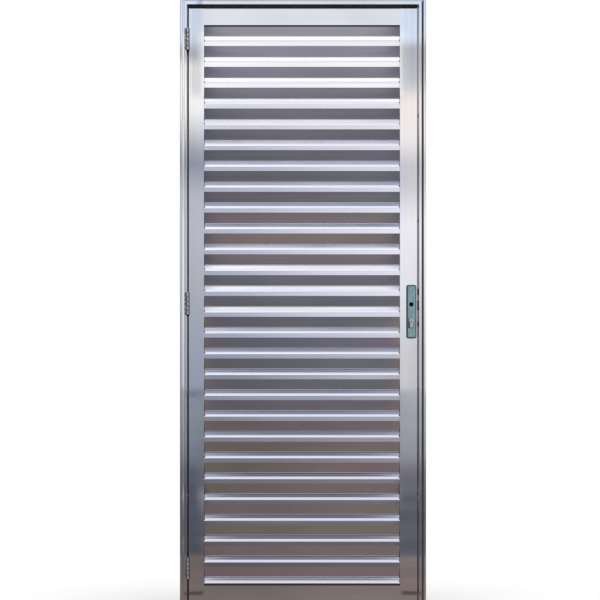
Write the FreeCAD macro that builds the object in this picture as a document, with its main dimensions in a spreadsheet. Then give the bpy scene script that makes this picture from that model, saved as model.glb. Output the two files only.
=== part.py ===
"""Louvred aluminium door hung in its own frame, as a parametric document in millimetres.

X runs to the viewer's right, Y away from the viewer and Z up. The origin is on the underside of
the sill, midway along it. The leaf is shut, and hangs on three butt hinges on the left.
"""
import FreeCAD, Part
import math
import os
import Sketcher

Vector = FreeCAD.Vector

# Driving dimensions
SIZES = {
    "frame_width": 840,
    "frame_height": 2100,
    "frame_depth": 50,
    "frame_wall": 1.8,
    "flange_width": 8.5,
    "flange_bevel": 4,
    "flange_drop": 0.5,
    "groove_width": 6,
    "groove_depth": 8,
    "rib_width": 9.5,
    "rib_setback": 2,
    "stop_height": 18,
    "stop_thickness": 2.5,
    "side_gap": 6,
    "top_gap": 14,
    "bottom_gap": 12,
    "stop_gap": 9,
    "leaf_setback": 4,
    "leaf_thickness": 30,
    "leaf_wall": 1.8,
    "hinge_stile_width": 52,
    "lock_stile_width": 59,
    "rail_width": 56,
    "channel_depth": 10,
    "edge_radius": 1.2,
    "cope_depth": 5,
    "first_nose_drop": 48,
    "last_nose_rise": 15,
    "slat_reach": 10,
    "slat_wall": 1.4,
    "upstand_height": 10,
    "upstand_lean": 2,
    "nose_height": 7.2,
    "nose_depth": 7,
    "nose_radius": 4,
    "lip_height": 15.5,
    "web_overlap": 4.6,
    "drip_height": 9,
    "slat_slit": 5,
    "hinge_length": 76,
    "top_hinge_drop": 105,
    "bottom_hinge_rise": 116,
    "barrel_radius": 5.5,
    "barrel_reach": 7.5,
    "barrel_bore": 2.65,
    "knuckle_gap": 0.7,
    "pin_radius": 2.6,
    "pin_head_radius": 4.2,
    "pin_head_height": 2,
    "hinge_plate": 2,
    "hinge_plate_width": 30,
    "hinge_plate_start": 6.5,
    "hinge_tab_start": 3.5,
    "backset": 20,
    "spindle_height": 1052,
    "spindle_hole_radius": 8,
    "spindle_square": 8,
    "cylinder_drop": 55,
    "cylinder_radius": 8.5,
    "cylinder_tail": 19.5,
    "cylinder_tail_radius": 5,
    "cylinder_front_reach": 3,
    "cylinder_back_reach": 1,
    "keyway_height": 9,
    "keyway_width": 2,
    "keyway_depth": 8,
    "plate_width": 33,
    "plate_height": 181,
    "plate_thickness": 3.5,
    "plate_drop": 25,
    "plate_corner": 6,
    "plate_edge": 1.5,
    "forend_width": 20,
    "forend_height": 165,
    "case_width": 14,
    "case_depth": 38,
    "case_height": 140,
    "bolt_width": 12,
    "bolt_depth": 9,
    "latch_height": 18,
    "dead_bolt_height": 24,
    "strike_clearance": 2,
}

SLAT_COUNT = 28
HINGE_NAMES = ("bottom", "middle", "top")
FRAME_KNUCKLES = 3
DOOR_KNUCKLES = 2
KNUCKLES = FRAME_KNUCKLES + DOOR_KNUCKLES

doc = FreeCAD.newDocument("LouvredDoor")
sheet = doc.addObject("Spreadsheet::Sheet", "Sizes")
for row, (alias, size) in enumerate(SIZES.items(), start=1):
    sheet.set(f"A{row}", alias)
    sheet.set(f"B{row}", str(size))
    sheet.setAlias(f"B{row}", alias)
doc.recompute()


def cell(alias):
    """The name of a sheet cell in a formula."""
    return f"Sizes.{alias}"


# Places worked out from the driving dimensions, as formulas
HALF_WIDTH = f"{cell('frame_width')} / 2"
FRAME_FRONT = f"-{cell('frame_depth')} / 2"
FRAME_FACE = f"({cell('flange_width')} + {cell('groove_width')} + {cell('rib_width')})"
LEAF_FRONT = f"({FRAME_FRONT} + {cell('leaf_setback')})"
LEAF_MIDDLE = f"({LEAF_FRONT} + {cell('leaf_thickness')} / 2)"
LEAF_EDGE = f"({HALF_WIDTH} - {FRAME_FACE} - {cell('side_gap')})"
LEAF_BOTTOM = f"({FRAME_FACE} + {cell('bottom_gap')})"
LEAF_TOP = f"({cell('frame_height')} - {FRAME_FACE} - {cell('top_gap')})"
LEAF_HEIGHT = f"({LEAF_TOP} - {LEAF_BOTTOM})"
FIELD_TOP = f"({LEAF_TOP} - {cell('rail_width')})"
FIELD_BOTTOM = f"({LEAF_BOTTOM} + {cell('rail_width')})"
NOSE_SPAN = f"({FIELD_TOP} - {cell('first_nose_drop')} - {FIELD_BOTTOM} - {cell('last_nose_rise')})"
SLAT_PITCH = f"({NOSE_SPAN} / {SLAT_COUNT - 2})"
SLAT_LEFT = f"(-{LEAF_EDGE} + {cell('hinge_stile_width')} - {cell('channel_depth')})"
SLAT_RIGHT = f"({LEAF_EDGE} - {cell('lock_stile_width')} + {cell('channel_depth')})"
SLAT_LENGTH = f"({SLAT_RIGHT} - {SLAT_LEFT})"
HINGE_X = f"(-{LEAF_EDGE} - {cell('side_gap')} / 2)"
HINGE_Y = f"({LEAF_FRONT} - {cell('barrel_reach')})"
BOTTOM_HINGE_Z = f"({LEAF_BOTTOM} + {cell('bottom_hinge_rise')})"
HINGE_SPAN = f"({LEAF_TOP} - {cell('top_hinge_drop')} - {BOTTOM_HINGE_Z})"
KNUCKLE_PITCH = f"(({cell('hinge_length')} + {cell('knuckle_gap')}) / {KNUCKLES})"
KNUCKLE_LENGTH = f"({KNUCKLE_PITCH} - {cell('knuckle_gap')})"
LOCK_X = f"({LEAF_EDGE} - {cell('backset')})"
CYLINDER_Z = f"({cell('spindle_height')} - {cell('cylinder_drop')})"
PLATE_Z = f"({cell('spindle_height')} - {cell('plate_drop')})"


def new_body(name, x="0", y="0", z="0"):
    """An empty body whose place is given by three formulas."""
    body = doc.addObject("PartDesign::Body", name)
    body.Label = name
    place(body, x, y, z)
    return body


def place(item, x, y, z):
    """Bind an object's place to three formulas."""
    for axis, formula in zip("xyz", (x, y, z)):
        item.setExpression(f".Placement.Base.{axis}", formula)


def new_sketch(body, name, plane, x="0", y="0", lift="0"):
    """A sketch on one of the body's own origin planes, with its origin moved by three formulas."""
    sketch = body.newObject("Sketcher::SketchObject", f"{body.Name}_{name}")
    support = [item for item in body.Origin.OriginFeatures if item.Role == plane]
    sketch.AttachmentSupport = [(support[0], "")]
    sketch.MapMode = "FlatFace"
    for axis, formula in zip("xyz", (x, y, lift)):
        sketch.setExpression(f".AttachmentOffset.Base.{axis}", formula)
    return sketch


def bind(sketch, constraint, name, formula):
    """Add a named dimension and bind it to a formula."""
    index = sketch.addConstraint(constraint)
    sketch.renameConstraint(index, name)
    sketch.setExpression(f"Constraints.{name}", formula)


def add_path(sketch, corners, closed=True):
    """Straight sides through corners (x, y) or (x, y, radius alias), every corner dimensioned."""
    first = sketch.GeometryCount
    count = len(corners)
    sides = count if closed else count - 1
    start = [Vector(math.cos(6 * i / count), math.sin(6 * i / count), 0) for i in range(count)]
    for i in range(sides):
        sketch.addGeometry(Part.LineSegment(start[i], start[(i + 1) % count]))
    for i in range(sides if closed else sides - 1):
        sketch.addConstraint(Sketcher.Constraint("Coincident", first + i, 2, first + (i + 1) % sides, 1))
    for i, corner in enumerate(corners):
        line, end = (first + i, 1) if i < sides else (first + i - 1, 2)
        for axis, formula in zip("XY", corner):
            dimension = Sketcher.Constraint(f"Distance{axis}", line, end, 1.0)
            bind(sketch, dimension, f"corner_{first + i}_{axis}", formula)
    doc.recompute()
    for i, corner in enumerate(corners):
        if len(corner) == 3:
            round_corner(sketch, first + (i - 1) % sides, corner[2])


def round_corner(sketch, line, radius):
    """Round the corner at the end of a line to the radius in a sheet cell."""
    sketch.fillet(line, 2, getattr(sheet, radius), True, True)
    arcs = [i for i, item in enumerate(sketch.Geometry) if isinstance(item, Part.ArcOfCircle)]
    bind(sketch, Sketcher.Constraint("Radius", arcs[-1], getattr(sheet, radius)),
         f"round_{line}", cell(radius))


def add_circle(sketch, x, y, radius):
    """A circle with its centre and radius dimensioned."""
    item = sketch.addGeometry(Part.Circle(Vector(1, 1, 0), Vector(0, 0, 1), 1))
    bind(sketch, Sketcher.Constraint("DistanceX", item, 3, 1.0), f"centre_{item}_X", x)
    bind(sketch, Sketcher.Constraint("DistanceY", item, 3, 1.0), f"centre_{item}_Y", y)
    bind(sketch, Sketcher.Constraint("Radius", item, 1.0), f"radius_{item}", radius)


def add_rectangle(sketch, x_low, y_low, x_high, y_high):
    """A rectangle between two corners."""
    add_path(sketch, [(x_low, y_low), (x_high, y_low), (x_high, y_high), (x_low, y_high)])


def pad(body, sketch, name, length, reverse=False, both=False):
    """Pad a sketch by a formula's length."""
    feature = body.newObject("PartDesign::Pad", f"{body.Name}_{name}")
    feature.Profile = sketch
    feature.setExpression("Length", length)
    feature.Reversed = reverse
    feature.Midplane = both
    doc.recompute()
    return feature


def pocket(body, sketch, name, depth, reverse=False, both=False):
    """Cut a sketch into the body, and make sure that it took something away."""
    before = body.Shape.Volume
    feature = body.newObject("PartDesign::Pocket", f"{body.Name}_{name}")
    feature.Profile = sketch
    feature.setExpression("Length", depth)
    feature.Reversed = reverse
    feature.Midplane = both
    doc.recompute()
    if body.Shape.Volume >= before:
        raise RuntimeError(f"{feature.Name} cuts nothing")
    return feature


def bevel_edges(body, name, size, wanted):
    """Bevel the edges of the body's last feature that a test picks out."""
    base = body.Tip
    names = [f"Edge{i}" for i, edge in enumerate(base.Shape.Edges, start=1) if wanted(edge)]
    feature = body.newObject("PartDesign::Chamfer", f"{body.Name}_{name}")
    feature.Base = (base, names)
    feature.setExpression("Size", cell(size))
    doc.recompute()
    return feature


def frame_outline():
    """Frame extrusion, as (inward from the wall, back from the front): bevelled flange, groove, rib, stop."""
    flange = cell("flange_width")
    rib_side = f"{flange} + {cell('groove_width')}"
    stop_front = f"{cell('leaf_setback')} + {cell('leaf_thickness')} + {cell('stop_gap')}"
    stop_back = f"{stop_front} + {cell('stop_thickness')}"
    stop_edge = f"{FRAME_FACE} + {cell('stop_height')}"
    return [
        ("0", cell("flange_drop"), "edge_radius"),
        (cell("flange_bevel"), "0"),
        (flange, "0", "edge_radius"),
        (flange, cell("groove_depth")),
        (rib_side, cell("groove_depth")),
        (rib_side, cell("rib_setback"), "edge_radius"),
        (FRAME_FACE, cell("rib_setback"), "edge_radius"),
        (FRAME_FACE, stop_front),
        (stop_edge, stop_front),
        (stop_edge, stop_back),
        (FRAME_FACE, stop_back),
        (FRAME_FACE, cell("frame_depth")),
        ("0", cell("frame_depth")),
    ]


def frame_hollow():
    """The closed chamber inside the frame extrusion."""
    wall = cell("frame_wall")
    front = f"{wall} + {cell('flange_drop')}"
    flange_inside = f"{cell('flange_width')} - {wall}"
    floor = f"{cell('groove_depth')} + {wall}"
    rib_front = f"{cell('rib_setback')} + {wall}"
    rib_outside = f"{cell('flange_width')} + {cell('groove_width')} + {wall}"
    rib_inside = f"{FRAME_FACE} - {wall}"
    back = f"{cell('frame_depth')} - {wall}"
    return [
        (wall, front),
        (flange_inside, front),
        (flange_inside, floor),
        (rib_outside, floor),
        (rib_outside, rib_front),
        (rib_inside, rib_front),
        (rib_inside, back),
        (wall, back),
    ]


def leaf_outline(width):
    """Leaf extrusion, as (inward from the edge, back from the front): a tube and an open channel."""
    wall = cell("leaf_wall")
    thick = cell("leaf_thickness")
    tube = f"{width} - {cell('channel_depth')}"
    return [
        ("0", "0", "edge_radius"),
        (width, "0"),
        (width, wall),
        (tube, wall),
        (tube, f"{thick} - {wall}"),
        (width, f"{thick} - {wall}"),
        (width, thick),
        ("0", thick, "edge_radius"),
    ]


def leaf_hollow(width):
    """The chamber of the leaf extrusion's tube."""
    wall = cell("leaf_wall")
    inside = f"{width} - {cell('channel_depth')} - {wall}"
    back = f"{cell('leaf_thickness')} - {wall}"
    return [(wall, wall), (inside, wall), (inside, back), (wall, back)]


def upright(inward, back):
    """A section of a member that stands on the left."""
    return inward, back


def upright_mirrored(inward, back):
    """A section of a member that stands on the right."""
    return f"-({inward})", back


def level(inward, back):
    """A section of a member that lies along the bottom."""
    return back, inward


def level_mirrored(inward, back):
    """A section of a member that lies along the top."""
    return back, f"-({inward})"


def draw_section(sketch, corners, turn):
    """Draw a section's corners as a standing or a lying member has them."""
    add_path(sketch, [turn(*corner[:2]) + tuple(corner[2:]) for corner in corners])


def make_frame_member(name, turn, plane, x, z, length):
    """A hollow frame member, cut to a mitre at both ends."""
    body = new_body(name, x, FRAME_FRONT, z)
    section = new_sketch(body, "section", plane)
    draw_section(section, frame_outline(), turn)
    draw_section(section, frame_hollow(), turn)
    pad(body, section, "bar", length)
    ends = new_sketch(body, "mitres", "XZ_Plane")
    reach = f"({FRAME_FACE} + {cell('stop_height')})"
    for end, inward in (("0", reach), (length, f"{length} - {reach}")):
        wedge = [("0", end), (reach, end), (reach, inward)]
        if plane == "XY_Plane":
            add_path(ends, [(turn(u, "0")[0], along) for u, along in wedge])
        else:
            add_path(ends, [(along, turn(u, "0")[1]) for u, along in wedge])
    pocket(body, ends, "mitre_cuts", f"3 * {cell('frame_depth')}", both=True)
    return body


def make_stile(name, turn, width, x):
    """A leaf stile: a hollow extrusion as tall as the leaf, with the slats' channel on its inner side."""
    body = new_body(name, x, LEAF_FRONT, LEAF_BOTTOM)
    section = new_sketch(body, "section", "XY_Plane")
    draw_section(section, leaf_outline(width), turn)
    draw_section(section, leaf_hollow(width), turn)
    pad(body, section, "bar", LEAF_HEIGHT)
    return body


def make_rail(name, turn, z):
    """A leaf rail, coped at both ends to enter the stiles' channels."""
    body = new_body(name, SLAT_LEFT, LEAF_FRONT, z)
    section = new_sketch(body, "section", "YZ_Plane")
    draw_section(section, leaf_outline(cell("rail_width")), turn)
    draw_section(section, leaf_hollow(cell("rail_width")), turn)
    pad(body, section, "bar", SLAT_LENGTH)
    copes = new_sketch(body, "copes", "XY_Plane")
    thick = cell("leaf_thickness")
    depth = cell("channel_depth")
    for x_low, x_high in (("0", depth), (f"{SLAT_LENGTH} - {depth}", SLAT_LENGTH)):
        add_rectangle(copes, x_low, "0", x_high, cell("cope_depth"))
        add_rectangle(copes, x_low, f"{thick} - {cell('cope_depth')}", x_high, thick)
    pocket(body, copes, "cope_cuts", f"3 * {cell('rail_width')}", both=True)
    return body


def make_slat_section():
    """The slat's bent section, as a path of its front side and the wall behind it."""
    reach = cell("slat_reach")
    nose_back = f"-{reach} + {cell('nose_depth')}"
    lip_foot = f"-({cell('nose_height')} + {cell('lip_height')})"
    web_foot = f"-({SLAT_PITCH} + {cell('web_overlap')})"
    drip = f"{reach} - {cell('slat_wall')}"
    path = doc.addObject("Sketcher::SketchObject", "SlatPath")
    path.Placement = FreeCAD.Placement(Vector(0, 0, 0), FreeCAD.Rotation(Vector(1, 1, 1), 120))
    add_path(path, [
        (f"{nose_back} + {cell('upstand_lean')}", cell("upstand_height")),
        (nose_back, "0"),
        (f"-{reach}", f"-{cell('nose_height')}", "nose_radius"),
        (f"-{reach}", lip_foot),
        (drip, web_foot),
        (drip, f"{web_foot} - {cell('drip_height')}"),
    ], closed=False)
    section = doc.addObject("Part::Offset2D", "SlatSection")
    section.Source = path
    section.Fill = True
    section.Join = "Intersection"
    section.Mode = "Skin"
    section.setExpression("Value", f"-{cell('slat_wall')}")
    doc.recompute()
    return section


def make_slat_bar(name, section, index):
    """One slat as a length of the slat extrusion, with the first one a pitch above the top nose."""
    bar = doc.addObject("Part::Extrusion", name)
    bar.Label = name
    bar.Base = section
    bar.DirMode = "Custom"
    bar.Dir = Vector(1, 0, 0)
    bar.Solid = True
    bar.setExpression("LengthFwd", SLAT_LENGTH)
    bend = f"{FIELD_TOP} - {cell('first_nose_drop')} + ({1 - index}) * {SLAT_PITCH}"
    place(bar, SLAT_LEFT, LEAF_MIDDLE, bend)
    return bar


def make_cut_slat(name, section, index, low):
    """A slat trimmed to end a slit short of a rail: the part of it that stands above a height."""
    bar = make_slat_bar(f"{name}_bar", section, index)
    room = doc.addObject("Part::Box", f"{name}_room")
    room.setExpression("Length", SLAT_LENGTH)
    room.setExpression("Width", cell("leaf_thickness"))
    room.setExpression("Height", f"2 * {SLAT_PITCH}")
    place(room, SLAT_LEFT, LEAF_FRONT, low)
    slat = doc.addObject("Part::Common", name)
    slat.Label = name
    slat.Base = bar
    slat.Tool = room
    return slat


def make_slats():
    """Every slat from the top: the first and the last are one slat's two ends, cut to fit the rails."""
    section = make_slat_section()
    top = f"{FIELD_TOP} - {cell('slat_slit')} - 2 * {SLAT_PITCH}"
    bottom = f"{FIELD_BOTTOM} + {cell('slat_slit')}"
    last = SLAT_COUNT - 1
    slats = [make_cut_slat("slat_01", section, 0, top)]
    slats += [make_slat_bar(f"slat_{i + 1:02d}", section, i) for i in range(1, last)]
    slats.append(make_cut_slat(f"slat_{SLAT_COUNT:02d}", section, last, bottom))
    return slats


def make_hinge_leaf(name, height, side, knuckles, first):
    """A hinge leaf with its knuckles about the hinge's axis; side is -1 on the jamb and 1 on the stile."""
    body = new_body(name, HINGE_X, HINGE_Y, f"{height} - {cell('hinge_length')} / 2")
    outer = f"{side} * {cell('side_gap')} / 2"
    inner = f"{side} * ({cell('side_gap')} / 2 - {cell('hinge_plate')})"
    plate = new_sketch(body, "plate", "XY_Plane")
    add_rectangle(plate, inner, cell("hinge_plate_start"), outer, cell("hinge_plate_width"))
    pad(body, plate, "plate_pad", cell("hinge_length"))
    start = f"{first} * {KNUCKLE_PITCH}"
    tab = new_sketch(body, "tab", "XY_Plane", lift=start)
    add_rectangle(tab, inner, cell("hinge_tab_start"), outer, cell("hinge_plate_start"))
    tab_pad = pad(body, tab, "tab_pad", KNUCKLE_LENGTH)
    ring = new_sketch(body, "ring", "XY_Plane", lift=start)
    add_circle(ring, "0", "0", cell("barrel_radius"))
    add_circle(ring, "0", "0", cell("barrel_bore"))
    ring_pad = pad(body, ring, "ring_pad", KNUCKLE_LENGTH)
    pattern = body.newObject("PartDesign::LinearPattern", f"{name}_knuckles")
    pattern.Originals = [tab_pad, ring_pad]
    axis = [item for item in body.Origin.OriginFeatures if item.Role == "Z_Axis"]
    pattern.Direction = (axis[0], [""])
    pattern.setExpression("Length", f"{2 * (knuckles - 1)} * {KNUCKLE_PITCH}")
    pattern.Occurrences = knuckles
    body.Tip = pattern
    return body


def make_hinge_pin(name, height):
    """A headed pin, dropped into the barrel from above."""
    body = new_body(name, HINGE_X, HINGE_Y, f"{height} - {cell('hinge_length')} / 2")
    shaft = new_sketch(body, "shaft", "XY_Plane")
    add_circle(shaft, "0", "0", cell("pin_radius"))
    pad(body, shaft, "shaft_pad", cell("hinge_length"))
    head = new_sketch(body, "head", "XY_Plane", lift=cell("hinge_length"))
    add_circle(head, "0", "0", cell("pin_head_radius"))
    pad(body, head, "head_pad", cell("pin_head_height"))
    return body


def make_hinges():
    """Three butt hinges, evenly spaced up the left stile."""
    pieces = []
    for i, which in enumerate(HINGE_NAMES):
        height = f"{BOTTOM_HINGE_Z} + {i} * {HINGE_SPAN} / {len(HINGE_NAMES) - 1}"
        pieces.append(make_hinge_leaf(f"{which}_hinge_frame_leaf", height, -1, FRAME_KNUCKLES, 0))
        pieces.append(make_hinge_leaf(f"{which}_hinge_door_leaf", height, 1, DOOR_KNUCKLES, 1))
        pieces.append(make_hinge_pin(f"{which}_hinge_pin", height))
    return pieces


def add_cylinder_outline(sketch):
    """The key cylinder's outline about the sketch's origin: a round barrel above a straight tail."""
    radius = sheet.cylinder_radius
    tail_radius = sheet.cylinder_tail_radius
    tail = sheet.cylinder_tail
    shoulder = -math.sqrt(radius ** 2 - tail_radius ** 2)
    turn = math.atan2(shoulder, tail_radius)
    up = Vector(0, 0, 1)
    barrel = Part.ArcOfCircle(Part.Circle(Vector(0, 0, 0), up, radius), turn, math.pi - turn)
    left = Part.LineSegment(Vector(-tail_radius, shoulder, 0), Vector(-tail_radius, -tail, 0))
    foot = Part.ArcOfCircle(Part.Circle(Vector(0, -tail, 0), up, tail_radius), math.pi, 2 * math.pi)
    right = Part.LineSegment(Vector(tail_radius, -tail, 0), Vector(tail_radius, shoulder, 0))
    a, b, c, d = (sketch.addGeometry(item) for item in (barrel, left, foot, right))
    sketch.addConstraint(Sketcher.Constraint("Coincident", a, 3, -1, 1))
    sketch.addConstraint(Sketcher.Constraint("Coincident", a, 2, b, 1))
    sketch.addConstraint(Sketcher.Constraint("Tangent", b, 2, c, 1))
    sketch.addConstraint(Sketcher.Constraint("Tangent", c, 2, d, 1))
    sketch.addConstraint(Sketcher.Constraint("Coincident", d, 2, a, 1))
    sketch.addConstraint(Sketcher.Constraint("Vertical", b))
    sketch.addConstraint(Sketcher.Constraint("Vertical", d))
    sketch.addConstraint(Sketcher.Constraint("PointOnObject", c, 3, -2))
    bind(sketch, Sketcher.Constraint("Radius", a, radius), "barrel_radius", cell("cylinder_radius"))
    bind(sketch, Sketcher.Constraint("Radius", c, tail_radius), "foot_radius", cell("cylinder_tail_radius"))
    bind(sketch, Sketcher.Constraint("DistanceY", c, 3, -tail), "foot_height", f"-{cell('cylinder_tail')}")


def cut_lock_holes(body, x, spindle_z):
    """Cut the lever spindle's round hole and the key cylinder's hole right through a piece."""
    hole = new_sketch(body, "spindle_hole", "XZ_Plane", x, spindle_z)
    add_circle(hole, "0", "0", cell("spindle_hole_radius"))
    pocket(body, hole, "spindle_cut", f"3 * {cell('leaf_thickness')}", both=True)
    cut_cylinder_hole(body, x, spindle_z)


def cut_cylinder_hole(body, x, spindle_z):
    """Cut the key cylinder's hole, below the spindle, right through a piece."""
    hole = new_sketch(body, "cylinder_hole", "XZ_Plane", x, f"{spindle_z} - {cell('cylinder_drop')}")
    add_cylinder_outline(hole)
    pocket(body, hole, "cylinder_cut", f"3 * {cell('leaf_thickness')}", both=True)


def add_forend(sketch, middle, spindle_z):
    """The upright rectangle that the lock's forend and the strike plate share."""
    half = f"{cell('forend_width')} / 2"
    low = f"{spindle_z} - {cell('plate_drop')} - {cell('forend_height')} / 2"
    high = f"{low} + {cell('forend_height')}"
    add_rectangle(sketch, f"{middle} - {half}", low, f"{middle} + {half}", high)


def add_bolt_windows(sketch, clearance):
    """Windows for the latch, level with the spindle, and the dead bolt, level with the cylinder."""
    half = f"{cell('bolt_width')} / 2 + {clearance}"
    for centre, height in (("0", "latch_height"), (f"-{cell('cylinder_drop')}", "dead_bolt_height")):
        reach = f"({cell(height)} / 2 + {clearance})"
        add_rectangle(sketch, f"-({half})", f"{centre} - {reach}", half, f"{centre} + {reach}")


def make_lock_stile():
    """The lock side's stile, with the lock's slot in its edge and its holes through both faces."""
    body = make_stile("lock_stile", upright_mirrored, cell("lock_stile_width"), LEAF_EDGE)
    spindle_z = f"({cell('spindle_height')} - {LEAF_BOTTOM})"
    cut_lock_holes(body, f"-{cell('backset')}", spindle_z)
    slot = new_sketch(body, "forend_slot", "YZ_Plane")
    add_forend(slot, f"{cell('leaf_thickness')} / 2", spindle_z)
    pocket(body, slot, "forend_cut", cell("leaf_wall"))
    return body


def cut_strike_recess(jamb):
    """Cut the strike plate's recess in the lock jamb's rebate."""
    recess = new_sketch(jamb, "strike_recess", "YZ_Plane", lift=f"-{FRAME_FACE}")
    middle = f"{cell('leaf_setback')} + {cell('leaf_thickness')} / 2"
    add_forend(recess, middle, cell("spindle_height"))
    pocket(jamb, recess, "strike_cut", cell("frame_wall"), reverse=True)


def make_strike_plate():
    """The strike plate, let into the lock jamb, with windows for the latch and the bolt."""
    body = new_body("strike_plate", f"{HALF_WIDTH} - {FRAME_FACE}", LEAF_MIDDLE, cell("spindle_height"))
    outline = new_sketch(body, "outline", "YZ_Plane")
    add_forend(outline, "0", "0")
    pad(body, outline, "plate", cell("frame_wall"))
    windows = new_sketch(body, "windows", "YZ_Plane")
    add_bolt_windows(windows, cell("strike_clearance"))
    pocket(body, windows, "window_cuts", f"4 * {cell('frame_wall')}", both=True)
    return body


def make_lock_body():
    """The mortice lock: a forend let into the stile's edge, on a case with the spindle's square hole."""
    body = new_body("lock_body", LEAF_EDGE, LEAF_MIDDLE, cell("spindle_height"))
    forend = new_sketch(body, "forend", "YZ_Plane")
    add_forend(forend, "0", "0")
    pad(body, forend, "forend_pad", cell("leaf_wall"), reverse=True)
    case = new_sketch(body, "case", "YZ_Plane", lift=f"-{cell('leaf_wall')}")
    half = f"{cell('case_width')} / 2"
    low = f"-{cell('plate_drop')} - {cell('case_height')} / 2"
    high = f"-{cell('plate_drop')} + {cell('case_height')} / 2"
    add_rectangle(case, f"-{half}", low, half, high)
    pad(body, case, "case_pad", cell("case_depth"), reverse=True)
    bolts = new_sketch(body, "bolt_windows", "YZ_Plane")
    add_bolt_windows(bolts, "0")
    pocket(body, bolts, "bolt_cuts", cell("bolt_depth"))
    square = new_sketch(body, "spindle_square", "XZ_Plane", f"-{cell('backset')}", "0")
    side = f"{cell('spindle_square')} / 2"
    add_rectangle(square, f"-{side}", f"-{side}", side, side)
    pocket(body, square, "square_cut", f"2 * {cell('case_width')}", both=True)
    cut_cylinder_hole(body, f"-{cell('backset')}", "0")
    return body


def make_bolt(name, height, z):
    """A bolt drawn back until its end is flush with the forend."""
    bolt = doc.addObject("Part::Box", name)
    bolt.Label = name
    bolt.setExpression("Length", cell("bolt_depth"))
    bolt.setExpression("Width", cell("bolt_width"))
    bolt.setExpression("Height", cell(height))
    place(bolt, f"{LEAF_EDGE} - {cell('bolt_depth')}", f"{LEAF_MIDDLE} - {cell('bolt_width')} / 2",
          f"{z} - {cell(height)} / 2")
    return bolt


def make_lock_plate(name, y, back):
    """A long lock plate with rounded corners and a bevelled outer edge."""
    body = new_body(name, LOCK_X, y, PLATE_Z)
    outline = new_sketch(body, "outline", "XZ_Plane")
    half = f"{cell('plate_width')} / 2"
    reach = f"{cell('plate_height')} / 2"
    corners = [(f"-{half}", f"-{reach}"), (half, f"-{reach}"), (half, reach), (f"-{half}", reach)]
    add_path(outline, [corner + ("plate_corner",) for corner in corners])
    pad(body, outline, "plate", cell("plate_thickness"), reverse=back)
    face = sheet.plate_thickness if back else -sheet.plate_thickness
    bevel_edges(body, "soft_edge", "plate_edge",
                lambda edge: abs(edge.BoundBox.YMin - face) + abs(edge.BoundBox.YMax - face) < 0.01)
    cut_lock_holes(body, "0", cell("plate_drop"))
    return body


def make_key_cylinder():
    """The key cylinder, right through the stile and both plates, with a keyway at each end."""
    length = (f"({cell('leaf_thickness')} + 2 * {cell('plate_thickness')}"
              f" + {cell('cylinder_front_reach')} + {cell('cylinder_back_reach')})")
    back = (f"{LEAF_FRONT} + {cell('leaf_thickness')} + {cell('plate_thickness')}"
            f" + {cell('cylinder_back_reach')}")
    body = new_body("key_cylinder", LOCK_X, back, CYLINDER_Z)
    outline = new_sketch(body, "outline", "XZ_Plane")
    add_cylinder_outline(outline)
    pad(body, outline, "barrel", length)
    for name, lift, reverse in (("front_keyway", length, False), ("back_keyway", "0", True)):
        keyway = new_sketch(body, name, "XZ_Plane", lift=lift)
        half = f"{cell('keyway_width')} / 2"
        reach = f"{cell('keyway_height')} / 2"
        add_rectangle(keyway, f"-{half}", f"-{reach}", half, reach)
        pocket(body, keyway, f"{name}_cut", cell("keyway_depth"), reverse=reverse)
    return body


def make_frame():
    """The four mitred members of the frame and the strike plate."""
    height = cell("frame_height")
    width = cell("frame_width")
    left = f"-{HALF_WIDTH}"
    lock_jamb = make_frame_member("lock_jamb", upright_mirrored, "XY_Plane", HALF_WIDTH, "0", height)
    cut_strike_recess(lock_jamb)
    return [
        make_frame_member("hinge_jamb", upright, "XY_Plane", left, "0", height),
        lock_jamb,
        make_frame_member("frame_head", level_mirrored, "YZ_Plane", left, height, width),
        make_frame_member("frame_sill", level, "YZ_Plane", left, "0", width),
        make_strike_plate(),
    ]


def make_leaf():
    """The leaf's stiles and rails."""
    return [
        make_stile("hinge_stile", upright, cell("hinge_stile_width"), f"-{LEAF_EDGE}"),
        make_lock_stile(),
        make_rail("top_rail", level_mirrored, LEAF_TOP),
        make_rail("bottom_rail", level, LEAF_BOTTOM),
    ]


def make_lock():
    """The lock, its drawn bolts, its plates and its key cylinder."""
    leaf_back = f"{LEAF_FRONT} + {cell('leaf_thickness')}"
    return [
        make_lock_body(),
        make_bolt("latch_bolt", "latch_height", cell("spindle_height")),
        make_bolt("dead_bolt", "dead_bolt_height", CYLINDER_Z),
        make_lock_plate("front_lock_plate", LEAF_FRONT, False),
        make_lock_plate("back_lock_plate", leaf_back, True),
        make_key_cylinder(),
    ]


def check_document(pieces):
    """Stop if any object failed or any piece's shape is empty or broken."""
    failed = [item.Name for item in doc.Objects if {"Invalid", "Error"} & set(item.State)]
    for piece in pieces:
        if piece.Shape.isNull() or not piece.Shape.isValid() or len(piece.Shape.Solids) != 1:
            failed.append(piece.Label)
    if failed:
        raise RuntimeError(f"failed: {failed}")


pieces = make_frame() + make_leaf() + make_slats() + make_hinges() + make_lock()
doc.recompute()
check_document(pieces)
os.makedirs("parts", exist_ok=True)
for piece in pieces:
    piece.Shape.exportStep(f"parts/{piece.Label}.step")
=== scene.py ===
import math

import bmesh
import bpy
from bpy.props import FloatProperty, FloatVectorProperty, PointerProperty
from mathutils import Matrix, Vector


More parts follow.
